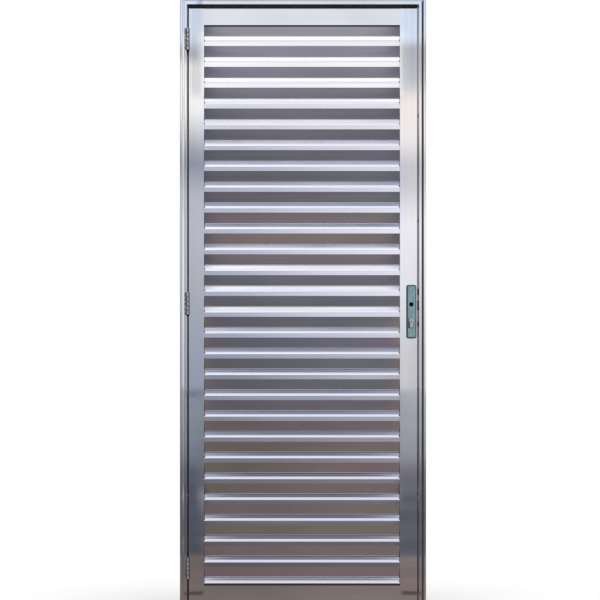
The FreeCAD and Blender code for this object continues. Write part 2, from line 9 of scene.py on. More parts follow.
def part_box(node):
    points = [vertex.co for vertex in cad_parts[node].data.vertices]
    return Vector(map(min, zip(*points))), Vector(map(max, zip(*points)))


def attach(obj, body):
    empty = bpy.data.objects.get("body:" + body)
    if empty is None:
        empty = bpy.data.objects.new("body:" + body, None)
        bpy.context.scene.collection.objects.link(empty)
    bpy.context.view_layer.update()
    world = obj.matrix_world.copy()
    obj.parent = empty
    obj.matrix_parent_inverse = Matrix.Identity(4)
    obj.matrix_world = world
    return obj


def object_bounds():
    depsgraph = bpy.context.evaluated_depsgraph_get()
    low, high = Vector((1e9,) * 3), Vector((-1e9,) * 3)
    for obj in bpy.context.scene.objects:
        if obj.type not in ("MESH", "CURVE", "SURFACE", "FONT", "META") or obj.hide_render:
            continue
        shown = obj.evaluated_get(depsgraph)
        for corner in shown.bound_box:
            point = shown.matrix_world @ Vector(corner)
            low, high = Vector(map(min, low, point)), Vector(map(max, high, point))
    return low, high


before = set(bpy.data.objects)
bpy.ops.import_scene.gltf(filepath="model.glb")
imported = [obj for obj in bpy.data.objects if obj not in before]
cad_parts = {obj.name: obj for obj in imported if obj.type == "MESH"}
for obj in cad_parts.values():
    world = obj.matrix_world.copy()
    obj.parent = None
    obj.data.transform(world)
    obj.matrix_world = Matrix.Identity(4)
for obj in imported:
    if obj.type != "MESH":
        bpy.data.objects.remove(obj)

bl_info = {
    "name": "Louvred door dressing",
    "version": (1, 0, 0),
    "blender": (4, 5, 0),
    "location": "View3D > Sidebar > Door",
    "description": "Finishes, seals, screws and a stage for a louvred aluminium door",
    "category": "Object",
}

CAD_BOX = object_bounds()
HINGES = ("bottom", "middle", "top")
FRAME_UPRIGHTS = ("hinge_jamb", "lock_jamb")
FRAME_LEVELS = ("frame_head", "frame_sill")
STILES = ("hinge_stile", "lock_stile")
RAILS = ("top_rail", "bottom_rail")
SLATS = sorted(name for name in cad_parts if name.startswith("slat_"))
KNUCKLES = 5
ALONG_X, ALONG_Z = 0, 2
WHITE = (1.0, 1.0, 1.0, 1.0)
BLACK = (0.0, 0.0, 0.0, 1.0)
MM = 0.001

# Sizes inside the CAD's sections, which the nodes' boxes don't give.
REBATE = 24.0 * MM
STOP_FRONT = 18.0 * MM
GROOVE = (8.5 * MM, 14.5 * MM)
GROOVE_DEPTH = 8.0 * MM
HINGE_PLATE = 2.0 * MM
LEAF_GAP = 6.0 * MM
LOCK_CASE = 7.0 * MM
SPINDLE_RISE = 25.0 * MM
SLAT_HEIGHT = 95.0 * MM

# Heights of the fine relief in the metals.
BOW_HEIGHT = 1.2 * MM
BAND_HEIGHT = 0.03 * MM
LINE_HEIGHT = 0.0015 * MM
BRUSH_HEIGHT = 0.01 * MM
PIT_DEPTH = 0.006 * MM
GRIME_DEPTH = 0.2 * MM
SHARP_FROM = math.radians(32.0)


def colour_property(name, description, default):
    """A colour that the panel shows as a swatch."""
    return FloatVectorProperty(name=name, description=description, default=default, size=3,
                               min=0.0, max=1.0, subtype="COLOR")


def length_property(name, description, default):
    """A length that the panel shows in the scene's unit."""
    return FloatProperty(name=name, description=description, default=default, unit="LENGTH",
                         precision=4)


def share_property(name, description, default):
    """A share between nothing and all."""
    return FloatProperty(name=name, description=description, default=default, min=0.0, max=1.0,
                         subtype="FACTOR")


class DoorFinishes(bpy.types.PropertyGroup):
    """Colours and polish of the door's metals and seals."""

    aluminium: colour_property("Aluminium", "Polished extrusions of frame and leaf",
                               (0.86, 0.865, 0.885))
    slat: colour_property("Slat", "Polished slat extrusion", (0.935, 0.93, 0.955))
    hinge: colour_property("Hinge", "Satin hinge leaves", (0.86, 0.85, 0.85))
    pin: colour_property("Pin", "Hinge pins", (0.72, 0.72, 0.72))
    plate: colour_property("Lock plate", "Tinted film on the lock plates", (0.32, 0.5, 0.53))
    steel: colour_property("Lock steel", "Plated lock, bolts, strike and screws",
                           (0.58, 0.57, 0.55))
    cylinder: colour_property("Cylinder", "Satin nickel of the key cylinder",
                              (0.76, 0.75, 0.72))
    # Near-black; on the spindle followers it stands in for the shade inside the lock.
    burnished: colour_property("Burnished steel", "Spindle followers", (0.018, 0.018, 0.02))
    rubber: colour_property("Seal", "Dark weather seals", (0.038, 0.036, 0.04))
    silvered: colour_property("Silvered seal", "Seal down the lock jamb", (0.27, 0.26, 0.28))
    # The dark strip stands in for the shade in the lock jamb's groove.
    strip: colour_property("Strip", "Dark strip in the lock jamb's groove", (0.05, 0.05, 0.055))
    # Also the colour of the painted shade down the hinge barrels' sides and on the jamb beside
    # them.
    grime: colour_property("Grime", "Dirt in the hinge's seams", (0.035, 0.032, 0.03))
    # Colour of the painted shade along the lock plates' rims and round their keyways.
    painted_rim_shade: colour_property("Plate rim", "Dark rim of the lock plates", (0.012, 0.03, 0.045))
    cap: colour_property("Cap", "Grey plastic caps over the frame's fixings",
                         (0.55, 0.55, 0.56))
    polish: share_property("Polish", "Roughness of the polished extrusions", 0.045)
    slat_polish: share_property("Slat polish", "Roughness of the polished slats", 0.06)
    grain: share_property("Grain", "How far the die lines spread a reflection", 0.75)
    slat_twist: FloatProperty(name="Slat twist", description="How far one slat leans from the next",
                              default=0.02, subtype="ANGLE", unit="ROTATION")


class DoorDetails(bpy.types.PropertyGroup):
    """Sizes of the seals, screws and caps."""

    seal_width: length_property("Seal width", "Base of the weather seal", 14.5 * MM)
    seal_base: length_property("Seal base", "Thickness of the seal's base", 2.4 * MM)
    seal_bulb: length_property("Seal bulb", "Radius of the seal's bulb", 1.7 * MM)
    hinge_screw: length_property("Hinge screw", "Radius of a hinge screw's head", 3.8 * MM)
    tip_radius: length_property("Hinge tip", "Radius of the tip under a hinge barrel", 4.4 * MM)
    lock_screw: length_property("Lock screw", "Radius of a lock or strike screw's head", 3.4 * MM)
    screw_rise: length_property("Screw rise", "How far a screw head stands up", 0.5 * MM)
    plug_radius: length_property("Key plug", "Radius of the key plug's face", 6.5 * MM)
    follower_radius: length_property("Follower", "Radius of the spindle follower", 7.2 * MM)
    cap_radius: length_property("Cap", "Radius of a fixing cap", 6.0 * MM)


class DoorStage(bpy.types.PropertyGroup):
    """Camera, floor and what the polished metal mirrors."""

    picture_width: length_property("Picture width", "What the picture spans at the leaf", 2.0488)
    picture_x: length_property("Picture middle", "Sideways place of the picture's middle", -0.0102)
    picture_z: length_property("Picture height", "Height of the picture's middle", 1.067)
    distance: length_property("Distance", "Camera to the leaf's face", 6.0)
    floor: colour_property("Floor", "Plain pale floor", (0.93, 0.93, 0.93))
    surround: length_property("Surround", "Radius of the mirrored surround", 15.0)
    rim: length_property("Rim", "Height of the surround's open top", 13.0)
    near_ground: colour_property("Near ground", "Mirrored ground by the door", (0.196, 0.16, 0.153))
    yard: colour_property("Yard", "Mirrored ground a few steps off", (0.105, 0.11, 0.135))
    far_ground: colour_property("Far ground", "Mirrored ground further off", (0.24, 0.262, 0.312))
    plot: colour_property("Plot", "Mirrored ground that the slats' webs show", (0.15, 0.15, 0.182))
    wall: colour_property("Wall", "Mirrored wall on the left", (0.49, 0.505, 0.555))
    pale_wall: colour_property("Pale wall", "Mirrored wall on the right", (0.85, 0.84, 0.85))
    dim: colour_property("Dim band", "Mirrored dim band under the bright wall", (0.27, 0.3, 0.36))
    bright: colour_property("Bright band", "Mirrored bright wall", (1.0, 0.985, 0.96))
    cream: colour_property("Cream band", "Mirrored cream wall on the right", (0.91, 0.845, 0.8))
    roof: colour_property("Roof band", "Mirrored dark line under the sky", (0.47, 0.475, 0.52))
    sky: colour_property("Sky band", "Mirrored sky", (0.66, 0.74, 0.88))
    gable: colour_property("Gable", "Mirrored pale band over the top rail", (0.9, 0.93, 0.99))
    haze: colour_property("Haze band", "Mirrored sky over the slats", (0.3, 0.32, 0.4))
    glow: FloatProperty(name="Glow", description="Level of the mirrored surround", default=1.16)
    flags: share_property("Side flags", "Level of the dark flags at both sides", 0.22)
    lamp_power: FloatProperty(name="Lamp power", description="Power of each soft lamp",
                              default=45.0, unit="POWER")
    fill: share_property("Fill", "Level of the world's light on the floor and seals", 0.75)


class Field:
    """A shader socket that Python's operators work on."""

    def __init__(self, tree, socket=None):
        self.tree = tree
        self.socket = socket

    def node(self, kind, settings=None, inputs=None, output=0):
        """Adds a node, sets it up, fills or links its sockets, and gives one of its outputs."""
        made = self.tree.nodes.new(kind)
        for key, value in (settings or {}).items():
            if key == "stops":
                fill_ramp(made.color_ramp, value)
            else:
                setattr(made, key, value)
        for key, value in (inputs or {}).items():
            if isinstance(value, Field):
                self.tree.links.new(value.socket, made.inputs[key])
            else:
                made.inputs[key].default_value = value
        return Field(self.tree, made.outputs[output])

    def other(self, output):
        """Another output of the same node."""
        return Field(self.tree, self.socket.node.outputs[output])

    def parts(self, letters="XYZ"):
        """Parts of a vector, by their letters."""
        first = self.node("ShaderNodeSeparateXYZ", None, {0: self})
        return [first.other(letter) for letter in letters]

    def maths(self, operation, *values):
        """A Math node on some values."""
        return self.node("ShaderNodeMath", {"operation": operation}, dict(enumerate(values)))

    def most(self, value):
        """The larger of this field and a value."""
        return self.maths("MAXIMUM", self, value)

    def blend(self, low, high):
        """A colour between two, with this field as the share of the second."""
        return self.node("ShaderNodeMix", {"data_type": "RGBA"}, {0: self, 6: low, 7: high}, 2)

    def tones(self, colour, low, high=1.0):
        """A colour between two shares of itself."""
        return self.blend(opaque(colour, low), opaque(colour, high))

    def rise(self, low, high):
        """0 below one value, 1 above another, and smooth between."""
        return self.node("ShaderNodeMapRange", {"interpolation_type": "SMOOTHSTEP"},
                         {"Value": self, "From Min": low, "From Max": high})

    def within(self, low, high, soft):
        """1 between two values and 0 beyond them, softened at both."""
        return self.rise(low - soft, low + soft) * self.rise(high + soft, high - soft)

    def tinted(self, colour):
        """A colour or vector, times another part by part."""
        return self.node("ShaderNodeVectorMath", {"operation": "MULTIPLY"}, {0: self, 1: colour})

    def scaled(self, share):
        """A colour or vector, times a value."""
        return self.node("ShaderNodeVectorMath", {"operation": "SCALE"}, {0: self, "Scale": share})

    def feed(self, target):
        """Links this field to a socket that is already there."""
        self.tree.links.new(self.socket, target)

    def __add__(self, value):
        return self.maths("ADD", self, value)

    def __radd__(self, value):
        return self.maths("ADD", value, self)

    def __sub__(self, value):
        return self.maths("SUBTRACT", self, value)

    def __rsub__(self, value):
        return self.maths("SUBTRACT", value, self)

    def __mul__(self, value):
        return self.maths("MULTIPLY", self, value)

    def __rmul__(self, value):
        return self.maths("MULTIPLY", value, self)

    def __truediv__(self, value):
        return self.maths("DIVIDE", self, value)

    def __rtruediv__(self, value):
        return self.maths("DIVIDE", value, self)

    def __pow__(self, value):
        return self.maths("POWER", self, value)

    def __rpow__(self, value):
        return self.maths("POWER", value, self)

    def __abs__(self):
        return self.maths("ABSOLUTE", self)


def fill_ramp(ramp, stops):
    """Gives a colour ramp its stops, each a place and a colour."""
    while len(ramp.elements) < len(stops):
        ramp.elements.new(1.0)
    for element, (place, colour) in zip(ramp.elements, stops):
        element.position = place
        element.color = opaque(colour)


def shaded(colour, share):
    """A share of a colour."""
    return tuple(share * part for part in colour)


def opaque(colour, share=1.0):
    """A share of a colour, as the four numbers that a colour socket takes."""
    return (*shaded(colour, share), 1.0)


def begin(name):
    """A new material, its surface shader and a point's place, in metres in the object's frame."""
    made = bpy.data.materials.new(name)
    made.use_nodes = True
    tree = made.node_tree
    place = Field(tree).node("ShaderNodeTexCoord", output="Object")
    return made, tree.nodes["Principled BSDF"], place


def height_share(place):
    """How far up its own piece a point lies, from 0 to 1."""
    return place.node("ShaderNodeTexCoord", output="Generated").parts("Z")[0]


def noise(place, detail, roughness=0.5):
    """Noise with lumps of about a metre."""
    return place.node("ShaderNodeTexNoise", None, {
        "Vector": place, "Scale": 1.0, "Detail": detail, "Roughness": roughness})


def stretched_noise(place, scale, detail=2.0, roughness=0.5):
    """Noise stretched by a scale along each axis."""
    return noise(place.tinted(scale), detail, roughness)


def streaks(place, along, across, lengthwise):
    """Noise in lines that run along one axis."""
    scale = [across, across, across]
    scale[along] = lengthwise
    return stretched_noise(place, scale)


def paint(shader, colour, roughness, metal=0.0):
    """Gives a surface its colour, its roughness and its share of metal."""
    for name, value in (("Base Color", colour), ("Roughness", roughness), ("Metallic", metal)):
        if isinstance(value, Field):
            value.feed(shader.inputs[name])
        else:
            shader.inputs[name].default_value = value


def bump(height, shader):
    """A height in metres as the shader's normal."""
    height.node("ShaderNodeBump", None, {"Height": height, "Distance": 1.0, "Strength": 1.0},
                "Normal").feed(shader.inputs["Normal"])


def spread_reflections(shader, along, finishes):
    """Spreads reflections across the die lines, which run along one axis."""
    quarter_turn = 0.25
    shader.inputs["Anisotropic"].default_value = finishes.grain
    shader.inputs["Anisotropic Rotation"].default_value = quarter_turn if along == ALONG_X else 0.0


def polished_extrusion(name, colour, along, finishes, shade_boxes=()):
    """Polished aluminium with die lines along the extrusion, smears, a slight bow and patchy
    painted shade in some boxes.
    """
    made, shader, place = begin(name)
    lines = streaks(place, along, 900.0, 0.9)
    bands = streaks(place, along, 70.0, 0.25)
    smears = stretched_noise(place, (6.0, 6.0, 4.0), 4.0, 0.6)
    tone = lines * 0.45 + bands * 0.3 + smears * 0.25
    metal = tone.rise(0.3, 0.7).tones(colour, 0.93)
    polish = finishes.polish
    finish = polish * 0.7 + bands * (0.4 * polish) + smears ** 2.0 * (0.9 * polish)
    bare = 1.0
    # Painted shade: inside the boxes the metal turns darker, rougher and less metallic.
    if shade_boxes:
        painted_shade = patchy_shade(place, shade_boxes)
        metal = painted_shade.blend(metal, opaque(finishes.grime))
        finish = finish + painted_shade * 0.5
        bare = 1.0 - painted_shade * 0.8
    paint(shader, metal, finish, bare)
    bow = stretched_noise(place, (5.0, 5.0, 1.1), 1.0)
    bump(bow * BOW_HEIGHT + bands * BAND_HEIGHT + lines * LINE_HEIGHT, shader)
    spread_reflections(shader, along, finishes)
    return made


def patchy_shade(place, boxes):
    """Patchy painted shade inside some boxes, each a low and a high corner."""
    across, height = place.parts("XZ")
    patches = stretched_noise(place, (260.0, 260.0, 190.0), 3.0, 0.6).rise(0.36, 0.52)
    soft = 1.5 * MM
    total = 0.0
    for low, high in boxes:
        total = across.within(low.x, high.x, soft) * height.within(low.z, high.z, soft) + total
    return patches * total


def slat_finish(finishes):
    """Polished slat aluminium with painted shade that darkens the lower slats, where each slat
    leans and twists a little in its own way.
    """
    made, shader, place = begin("polished_slat")
    own = place.node("ShaderNodeObjectInfo", output="Random")
    across, height = place.parts("XZ")
    lines = streaks(place, ALONG_X, 700.0, 0.7)
    bands = streaks(place, ALONG_X, 120.0, 0.2)
    smears = stretched_noise(place, (5.0, 9.0, 14.0), 4.0, 0.6)
    tone = lines * 0.4 + bands * 0.4 + smears * 0.2
    metal = tone.rise(0.3, 0.7).tones(finishes.slat, 0.86)
    # Painted shade: the slats' colour gets darker towards the bottom of the door.
    lower_shade = height.rise(1.3, 0.2) + (smears - 0.5) * 0.3
    polish = finishes.slat_polish
    paint(shader, lower_shade.blend(metal, opaque(finishes.slat, 0.7)),
          polish + bands * (0.5 * polish) + smears ** 2.0 * polish, 1.0)
    # Each slat reads its own row of the noise.
    rows = 37.0
    own_place = place.node("ShaderNodeCombineXYZ", None, {0: across * 1.6, 1: own * rows})
    twist = finishes.slat_twist
    lean = (noise(own_place, 1.0) - 0.5) * (2.0 * twist) + (own - 0.5) * twist
    # The lowest slats lie true, and the topmost nearly so.
    lean = lean * height.rise(0.1, 0.45) * (1.0 - height.rise(1.45, 1.65) * 0.85)
    tilt = lean * (height_share(place) - 0.5) * SLAT_HEIGHT
    bump(tilt + bands * BAND_HEIGHT + lines * LINE_HEIGHT, shader)
    spread_reflections(shader, ALONG_X, finishes)
    return made


def turned_metal(name, colour, roughness, along, grain=400.0):
    """Satin metal with turning or brushing lines, soft blotches and darker pits."""
    made, shader, place = begin(name)
    lines = streaks(place, along, grain, 25.0)
    wear = stretched_noise(place, (60.0, 60.0, 60.0), 4.0, 0.6).rise(0.35, 0.7)
    pits = place.node("ShaderNodeTexVoronoi", None, {"Vector": place, "Scale": 420.0})
    paint(shader, (wear * 0.7 + lines * 0.3).tones(colour, 0.72),
          roughness * 0.8 + lines * (0.3 * roughness) + wear * (0.25 * roughness), 1.0)
    bump(lines * BRUSH_HEIGHT + pits.rise(0.0, 0.25) * PIT_DEPTH, shader)
    return made


def hinge_satin(finishes, axis_x):
    """Satin hinge metal with grime in the knuckle seams and painted shade down both sides of the
    barrel.
    """
    made, shader, place = begin("hinge_satin")
    across = place.parts("X")[0]
    lines = streaks(place, ALONG_Z, 400.0, 25.0)
    blotches = stretched_noise(place, (130.0, 130.0, 90.0), 4.0, 0.65)
    uneven = blotches - 0.5
    off_middle = abs(place.maths("FRACT", height_share(place) * KNUCKLES) - 0.5)
    seam = (off_middle + uneven * 0.12).rise(0.34, 0.42)
    # Painted shade down both sides of the round barrel, away from its axis.
    flank_shade = (abs(across - axis_x) + uneven * (1.2 * MM)).rise(2.6 * MM, 4.0 * MM)
    seam_grime_and_flank_shade = (seam * 0.95).most(flank_shade)
    metal = (blotches.rise(0.35, 0.7) * 0.7 + lines * 0.3).tones(finishes.hinge, 0.6)
    paint(shader, seam_grime_and_flank_shade.blend(metal, opaque(finishes.grime)), 0.28 + lines * 0.1 + seam_grime_and_flank_shade * 0.4,
          1.0 - seam_grime_and_flank_shade * 0.85)
    bump(lines * BRUSH_HEIGHT - seam_grime_and_flank_shade * GRIME_DEPTH, shader)
    return made


def tinted_plate(finishes):
    """Tinted lock plate: a cloudy film over brushed metal, with painted shade along its rim, wider
    at the left and bottom, and a painted shadow round the keyway.
    """
    made, shader, place = begin("tinted_plate")
    low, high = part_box("front_lock_plate")
    middle, half = (low + high) / 2, (high - low) / 2
    key_z = middle_of("key_cylinder").z - 1.5 * MM
    across, height = place.parts("XZ")
    brush = streaks(place, ALONG_Z, 1200.0, 14.0)
    blotches = stretched_noise(place, (150.0, 150.0, 70.0), 5.0, 0.65)
    uneven = blotches - 0.5
    # Painted shade along the plate's rim, wider at the left and bottom.
    off_side = abs(across - (middle.x + 0.9 * MM)) - half.x
    off_end = abs(height - (middle.z + 0.4 * MM)) - half.z
    edge = off_side.most(off_end) + uneven * (1.6 * MM)
    # Painted shadow beside and below the key cylinder.
    beside_key = abs(across - (middle.x - 2.6 * MM)) - 8.8 * MM
    below_key = abs(height - key_z) - 16.5 * MM
    around_key = beside_key.most(below_key) + uneven * (4.0 * MM)
    shadow = around_key.rise(0.8 * MM, -0.8 * MM)
    dark = edge.rise(-4.2 * MM, -2.9 * MM).most(shadow * 0.9)
    lightness = (blotches * 0.75 + brush * 0.25).rise(0.36, 0.62)
    film = lightness.tones(finishes.plate, 0.72)
    paint(shader, dark.blend(film, opaque(finishes.painted_rim_shade)),
          0.3 + brush * 0.12 + lightness * 0.08, 0.75 - dark * 0.6)
    bump(brush * (0.004 * MM) + blotches * (0.03 * MM), shader)
    return made


def seal_rubber(finishes):
    """Black seal rubber with a moulded sheen, fine ribs and dust in places."""
    made, shader, place = begin("seal_rubber")
    dust = stretched_noise(place, (30.0, 30.0, 30.0), 5.0, 0.7).rise(0.5, 0.85)
    fine = stretched_noise(place, (900.0, 900.0, 900.0))
    dusty = (0.05, 0.047, 0.043, 1.0)
    paint(shader, (dust * 0.35).blend(opaque(finishes.rubber), dusty), 0.48 + dust * 0.25)
    bump(fine * (0.02 * MM), shader)
    return made


def groove_shade_strip(finishes):
    """A dark strip with a dusty, fibrous face, which stands in for the shade in the lock jamb's
    groove.
    """
    made, shader, place = begin("groove_shade_strip")
    pile = stretched_noise(place, (1400.0, 1400.0, 500.0), 3.0)
    dust = stretched_noise(place, (40.0, 40.0, 6.0), 5.0, 0.7).rise(0.35, 0.8)
    paint(shader, (dust * 0.6 + pile * 0.4).tones(finishes.strip, 0.8, 1.15), 0.75 + pile * 0.2)
    bump(pile * (0.15 * MM), shader)
    return made


def moulded_cap(finishes):
    """Grey moulded plastic with a fine spark texture."""
    made, shader, place = begin("moulded_cap")
    spark = stretched_noise(place, (1500.0, 1500.0, 1500.0))
    grime = stretched_noise(place, (120.0, 120.0, 120.0), 4.0, 0.6).rise(0.45, 0.8)
    paint(shader, grime.tones(finishes.cap, 1.0, 0.7), 0.42 + spark * 0.15)
    bump(spark * (0.02 * MM), shader)
    return made


def made_once(name, maker, *values):
    """The material of that name, made the first time it is asked for."""
    return bpy.data.materials.get(name) or maker(*values)


def lock_steel(finishes):
    """The plated steel that the lock, the strike and the screws share."""
    return made_once("lock_steel", turned_metal, "lock_steel", finishes.steel, 0.3, ALONG_Z)


def burnished_steel(finishes):
    """The dark steel that the hinge tips and the keeps share."""
    return made_once("burnished_tip", turned_metal, "burnished_tip", finishes.burnished, 0.4,
                     ALONG_Z)


def black_rubber(finishes):
    """The rubber that the seals and gaskets share."""
    return made_once("seal_rubber", seal_rubber, finishes)


def dress(names, material):
    """Gives the named CAD nodes a material."""
    for name in names:
        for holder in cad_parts[name].material_slots:
            holder.material = material


def middle_of(name):
    """The middle of a CAD node's box."""
    low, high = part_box(name)
    return (low + high) / 2


def show(name, bm, material, body):
    """Turns a bmesh into a piece with smooth faces and sharp edges, and hangs it on a body."""
    bmesh.ops.recalc_face_normals(bm, faces=bm.faces)
    mesh = bpy.data.meshes.new(name)
    bm.to_mesh(mesh)
    bm.free()
    mesh.shade_smooth()
    mesh.set_sharp_from_angle(angle=SHARP_FROM)
    mesh.materials.append(material)
    piece = bpy.data.objects.new(name, mesh)
    bpy.context.scene.collection.objects.link(piece)
    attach(piece, body)


def add_loop(bm, points):
    """A closed loop of vertices."""
    return [bm.verts.new(point) for point in points]


def add_skin(bm, first, second):
    """Faces between two loops of equal length."""
    for i, corner in enumerate(first):
        j = (i + 1) % len(first)
        bm.faces.new((corner, first[j], second[j], second[i]))


def add_lid(bm, *loops):
    """A flat lid between an outer loop and the loops of its openings."""
    edges = []
    for loop in loops:
        for i, corner in enumerate(loop):
            pair = (corner, loop[(i + 1) % len(loop)])
            edges.append(bm.edges.get(pair) or bm.edges.new(pair))
    bmesh.ops.triangle_fill(bm, use_beauty=True, edges=edges)


def add_turned(bm, turn, profile):
    """A skin through circles, each a radius and a height; gives the first and last loop."""
    loops = [add_loop(bm, circle(turn, radius, height)) for radius, height in profile]
    for first, second in zip(loops, loops[1:]):
        add_skin(bm, first, second)
    return loops[0], loops[-1]


def add_knob(bm, turn, profile):
    """A turned piece, closed at both ends."""
    for end in add_turned(bm, turn, profile):
        bm.faces.new(end)


def straight_run(starts, ends):
    """A bmesh between the points of two loops, closed at both ends."""
    bm = bmesh.new()
    first, last = add_loop(bm, starts), add_loop(bm, ends)
    add_skin(bm, first, last)
    bm.faces.new(first)
    bm.faces.new(last)
    return bm


def circle(turn, radius, height, sides=32):
    """Points of a circle about the local Z axis."""
    return [turn @ Vector((radius * math.cos(math.tau * i / sides),
                           radius * math.sin(math.tau * i / sides), height))
            for i in range(sides)]


def cross(turn, reach, half, height):
    """The twelve points of a cross with arms of one length and width."""
    quarter = [(reach, -half), (reach, half), (half, half)]
    points = []
    for i in range(4):
        spin = Matrix.Rotation(i * math.pi / 2, 2)
        points += [spin @ Vector(point) for point in quarter]
    return [turn @ Vector((point.x, point.y, height)) for point in points]


def rectangle(turn, half_x, half_y, height):
    """The four points of a rectangle about the local Z axis."""
    corners = ((-half_x, -half_y), (half_x, -half_y), (half_x, half_y), (-half_x, half_y))
    return [turn @ Vector((x, y, height)) for x, y in corners]


def rounded(half_x, half_y, radius, steps=6):
    """Points of a rectangle with round corners."""
    points = []
    for i, (x, y) in enumerate(((1, 1), (-1, 1), (-1, -1), (1, -1))):
        for step in range(steps + 1):
            turn = math.pi / 2 * (i + step / steps)
            points.append((x * (half_x - radius) + radius * math.cos(turn),
                           y * (half_y - radius) + radius * math.sin(turn)))
    return points


def facing(point, outward):
    """A turn and a move that put the local Z axis along outward at a point."""
    return Matrix.Translation(point) @ Vector(outward).to_track_quat("Z", "Y").to_matrix().to_4x4()


def add_screw(bm, point, outward, radius, rise):
    """A low domed screw head with a cross recess."""
    turn = facing(point, outward)
    sunk = -0.3 * rise
    dome = ((1.0, sunk), (1.0, 0.35 * rise), (0.93, 0.62 * rise), (0.78, 0.86 * rise), (0.6, rise))
    foot, crown = add_turned(bm, turn, [(radius * share, height) for share, height in dome])
    mouth = add_loop(bm, cross(turn, 0.5 * radius, 0.1 * radius, rise))
    well = add_loop(bm, cross(turn, 0.38 * radius, 0.08 * radius, sunk * 0.5))
    add_lid(bm, crown, mouth)
    add_skin(bm, mouth, well)
    add_lid(bm, well)
    add_lid(bm, foot)


class DOOR_OT_frame_finish(bpy.types.Operator):
    """Polish the frame's four members"""

    bl_idname = "door.frame_finish"
    bl_label = "Frame finish"

    def execute(self, context):
        finishes = context.scene.door_finishes
        colour = finishes.aluminium
        # Boxes round the hinges' frame leaves, reaching a little to their left, where the jamb gets
        # patchy painted shade.
        beside = Vector((5.5 * MM, 0.0, 0.0))
        shade_boxes = []
        for which in HINGES:
            low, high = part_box(f"{which}_hinge_frame_leaf")
            shade_boxes.append((low - beside, high))
        dress(FRAME_UPRIGHTS,
              polished_extrusion("polished_jamb", colour, ALONG_Z, finishes, shade_boxes))
        dress(FRAME_LEVELS, polished_extrusion("polished_head", colour, ALONG_X, finishes))
        return {"FINISHED"}


class DOOR_OT_leaf_finish(bpy.types.Operator):
    """Polish the leaf's stiles and rails"""

    bl_idname = "door.leaf_finish"
    bl_label = "Stiles and rails"

    def execute(self, context):
        finishes = context.scene.door_finishes
        colour = finishes.aluminium
        dress(STILES, polished_extrusion("polished_stile", colour, ALONG_Z, finishes))
        dress(RAILS, polished_extrusion("polished_rail", colour, ALONG_X, finishes))
        return {"FINISHED"}


class DOOR_OT_slat_finish(bpy.types.Operator):
    """Polish the slats"""

    bl_idname = "door.slat_finish"
    bl_label = "Slats"

    def execute(self, context):
        dress(SLATS, slat_finish(context.scene.door_finishes))
        return {"FINISHED"}


class DOOR_OT_hinge_finish(bpy.types.Operator):
    """Give the hinges their satin leaves and turned pins"""

    bl_idname = "door.hinge_finish"
    bl_label = "Hinges"

    def execute(self, context):
        finishes = context.scene.door_finishes
        leaves = [f"{which}_hinge_{side}_leaf" for which in HINGES for side in ("frame", "door")]
        dress(leaves, hinge_satin(finishes, middle_of("middle_hinge_pin").x))
        dress([f"{which}_hinge_pin" for which in HINGES],
              turned_metal("pin_steel", finishes.pin, roughness=0.25, along=ALONG_X))
        return {"FINISHED"}


class DOOR_OT_hinge_tips(bpy.types.Operator):
    """Close each hinge barrel's lower end with a dark tip"""

    bl_idname = "door.hinge_tips"
    bl_label = "Hinge tips"

    def execute(self, context):
        radius = context.scene.door_details.tip_radius
        profile = [(radius * share, radius * level) for share, level in (
            (0.8, 0.02), (1.0, 0.15), (1.0, 0.45), (0.9, 0.75), (0.68, 0.98), (0.36, 1.12))]
        bm = bmesh.new()
        for which in HINGES:
            end = middle_of(f"{which}_hinge_pin")
            end.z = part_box(f"{which}_hinge_pin")[0].z
            add_knob(bm, facing(end, (0.0, 0.0, -1.0)), profile)
        show("hinge_tips", bm, burnished_steel(context.scene.door_finishes), "frame")
        return {"FINISHED"}


class DOOR_OT_lock_finish(bpy.types.Operator):
    """Give the lock, its plates, its cylinder and the strike their finishes"""

    bl_idname = "door.lock_finish"
    bl_label = "Lock"

    def execute(self, context):
        finishes = context.scene.door_finishes
        dress(("front_lock_plate", "back_lock_plate"), tinted_plate(finishes))
        dress(("lock_body", "latch_bolt", "dead_bolt", "strike_plate"), lock_steel(finishes))
        dress(("key_cylinder",), turned_metal("cylinder_nickel", finishes.cylinder,
                                              roughness=0.26, along=ALONG_X))
        return {"FINISHED"}


class DOOR_OT_seals(bpy.types.Operator):
    """Run weather seals round the frame's stop, a silvered one down the lock jamb"""

    bl_idname = "door.seals"
    bl_label = "Weather seals"

    def execute(self, context):
        finishes = context.scene.door_finishes
        rubber = black_rubber(finishes)
        silvered = polished_extrusion("silvered_seal", finishes.silvered, ALONG_Z, finishes)
        section = self.section(context.scene.door_details)
        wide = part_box("lock_jamb")[1].x - REBATE
        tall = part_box("frame_head")[1].z - REBATE
        left, right, low, high = -1.0, 1.0, False, True
        for name, material, *ends in (
                ("hinge_side_seal", rubber, (left, low), (left, high)),
                ("lock_side_seal", silvered, (right, low), (right, high)),
                ("head_seal", rubber, (left, high), (right, high)),
                ("sill_seal", rubber, (left, low), (right, low))):
            loops = [[(side * (wide - inward), depth, tall - inward if up else REBATE + inward)
                      for inward, depth in section] for side, up in ends]
            show(name, straight_run(*loops), material, "frame")
        return {"FINISHED"}

    def section(self, details):
        """Base, shoulder and bulb, as inward and depth places from the rebate."""
        edge = 0.4 * MM
        bulb = 9.0 * MM
        neck = 0.8 * MM
        face = STOP_FRONT - details.seal_base
        radius = details.seal_bulb
        steps = 8
        arc = [math.pi * i / steps for i in range(steps + 1)]
        round_front = [(bulb - radius * math.cos(a), face - neck - radius * math.sin(a))
                       for a in arc]
        return [(edge, STOP_FRONT), (edge, face), (bulb - radius - 1.0 * MM, face), *round_front,
                (bulb + radius + neck, face), (details.seal_width, face + neck),
                (details.seal_width, STOP_FRONT)]


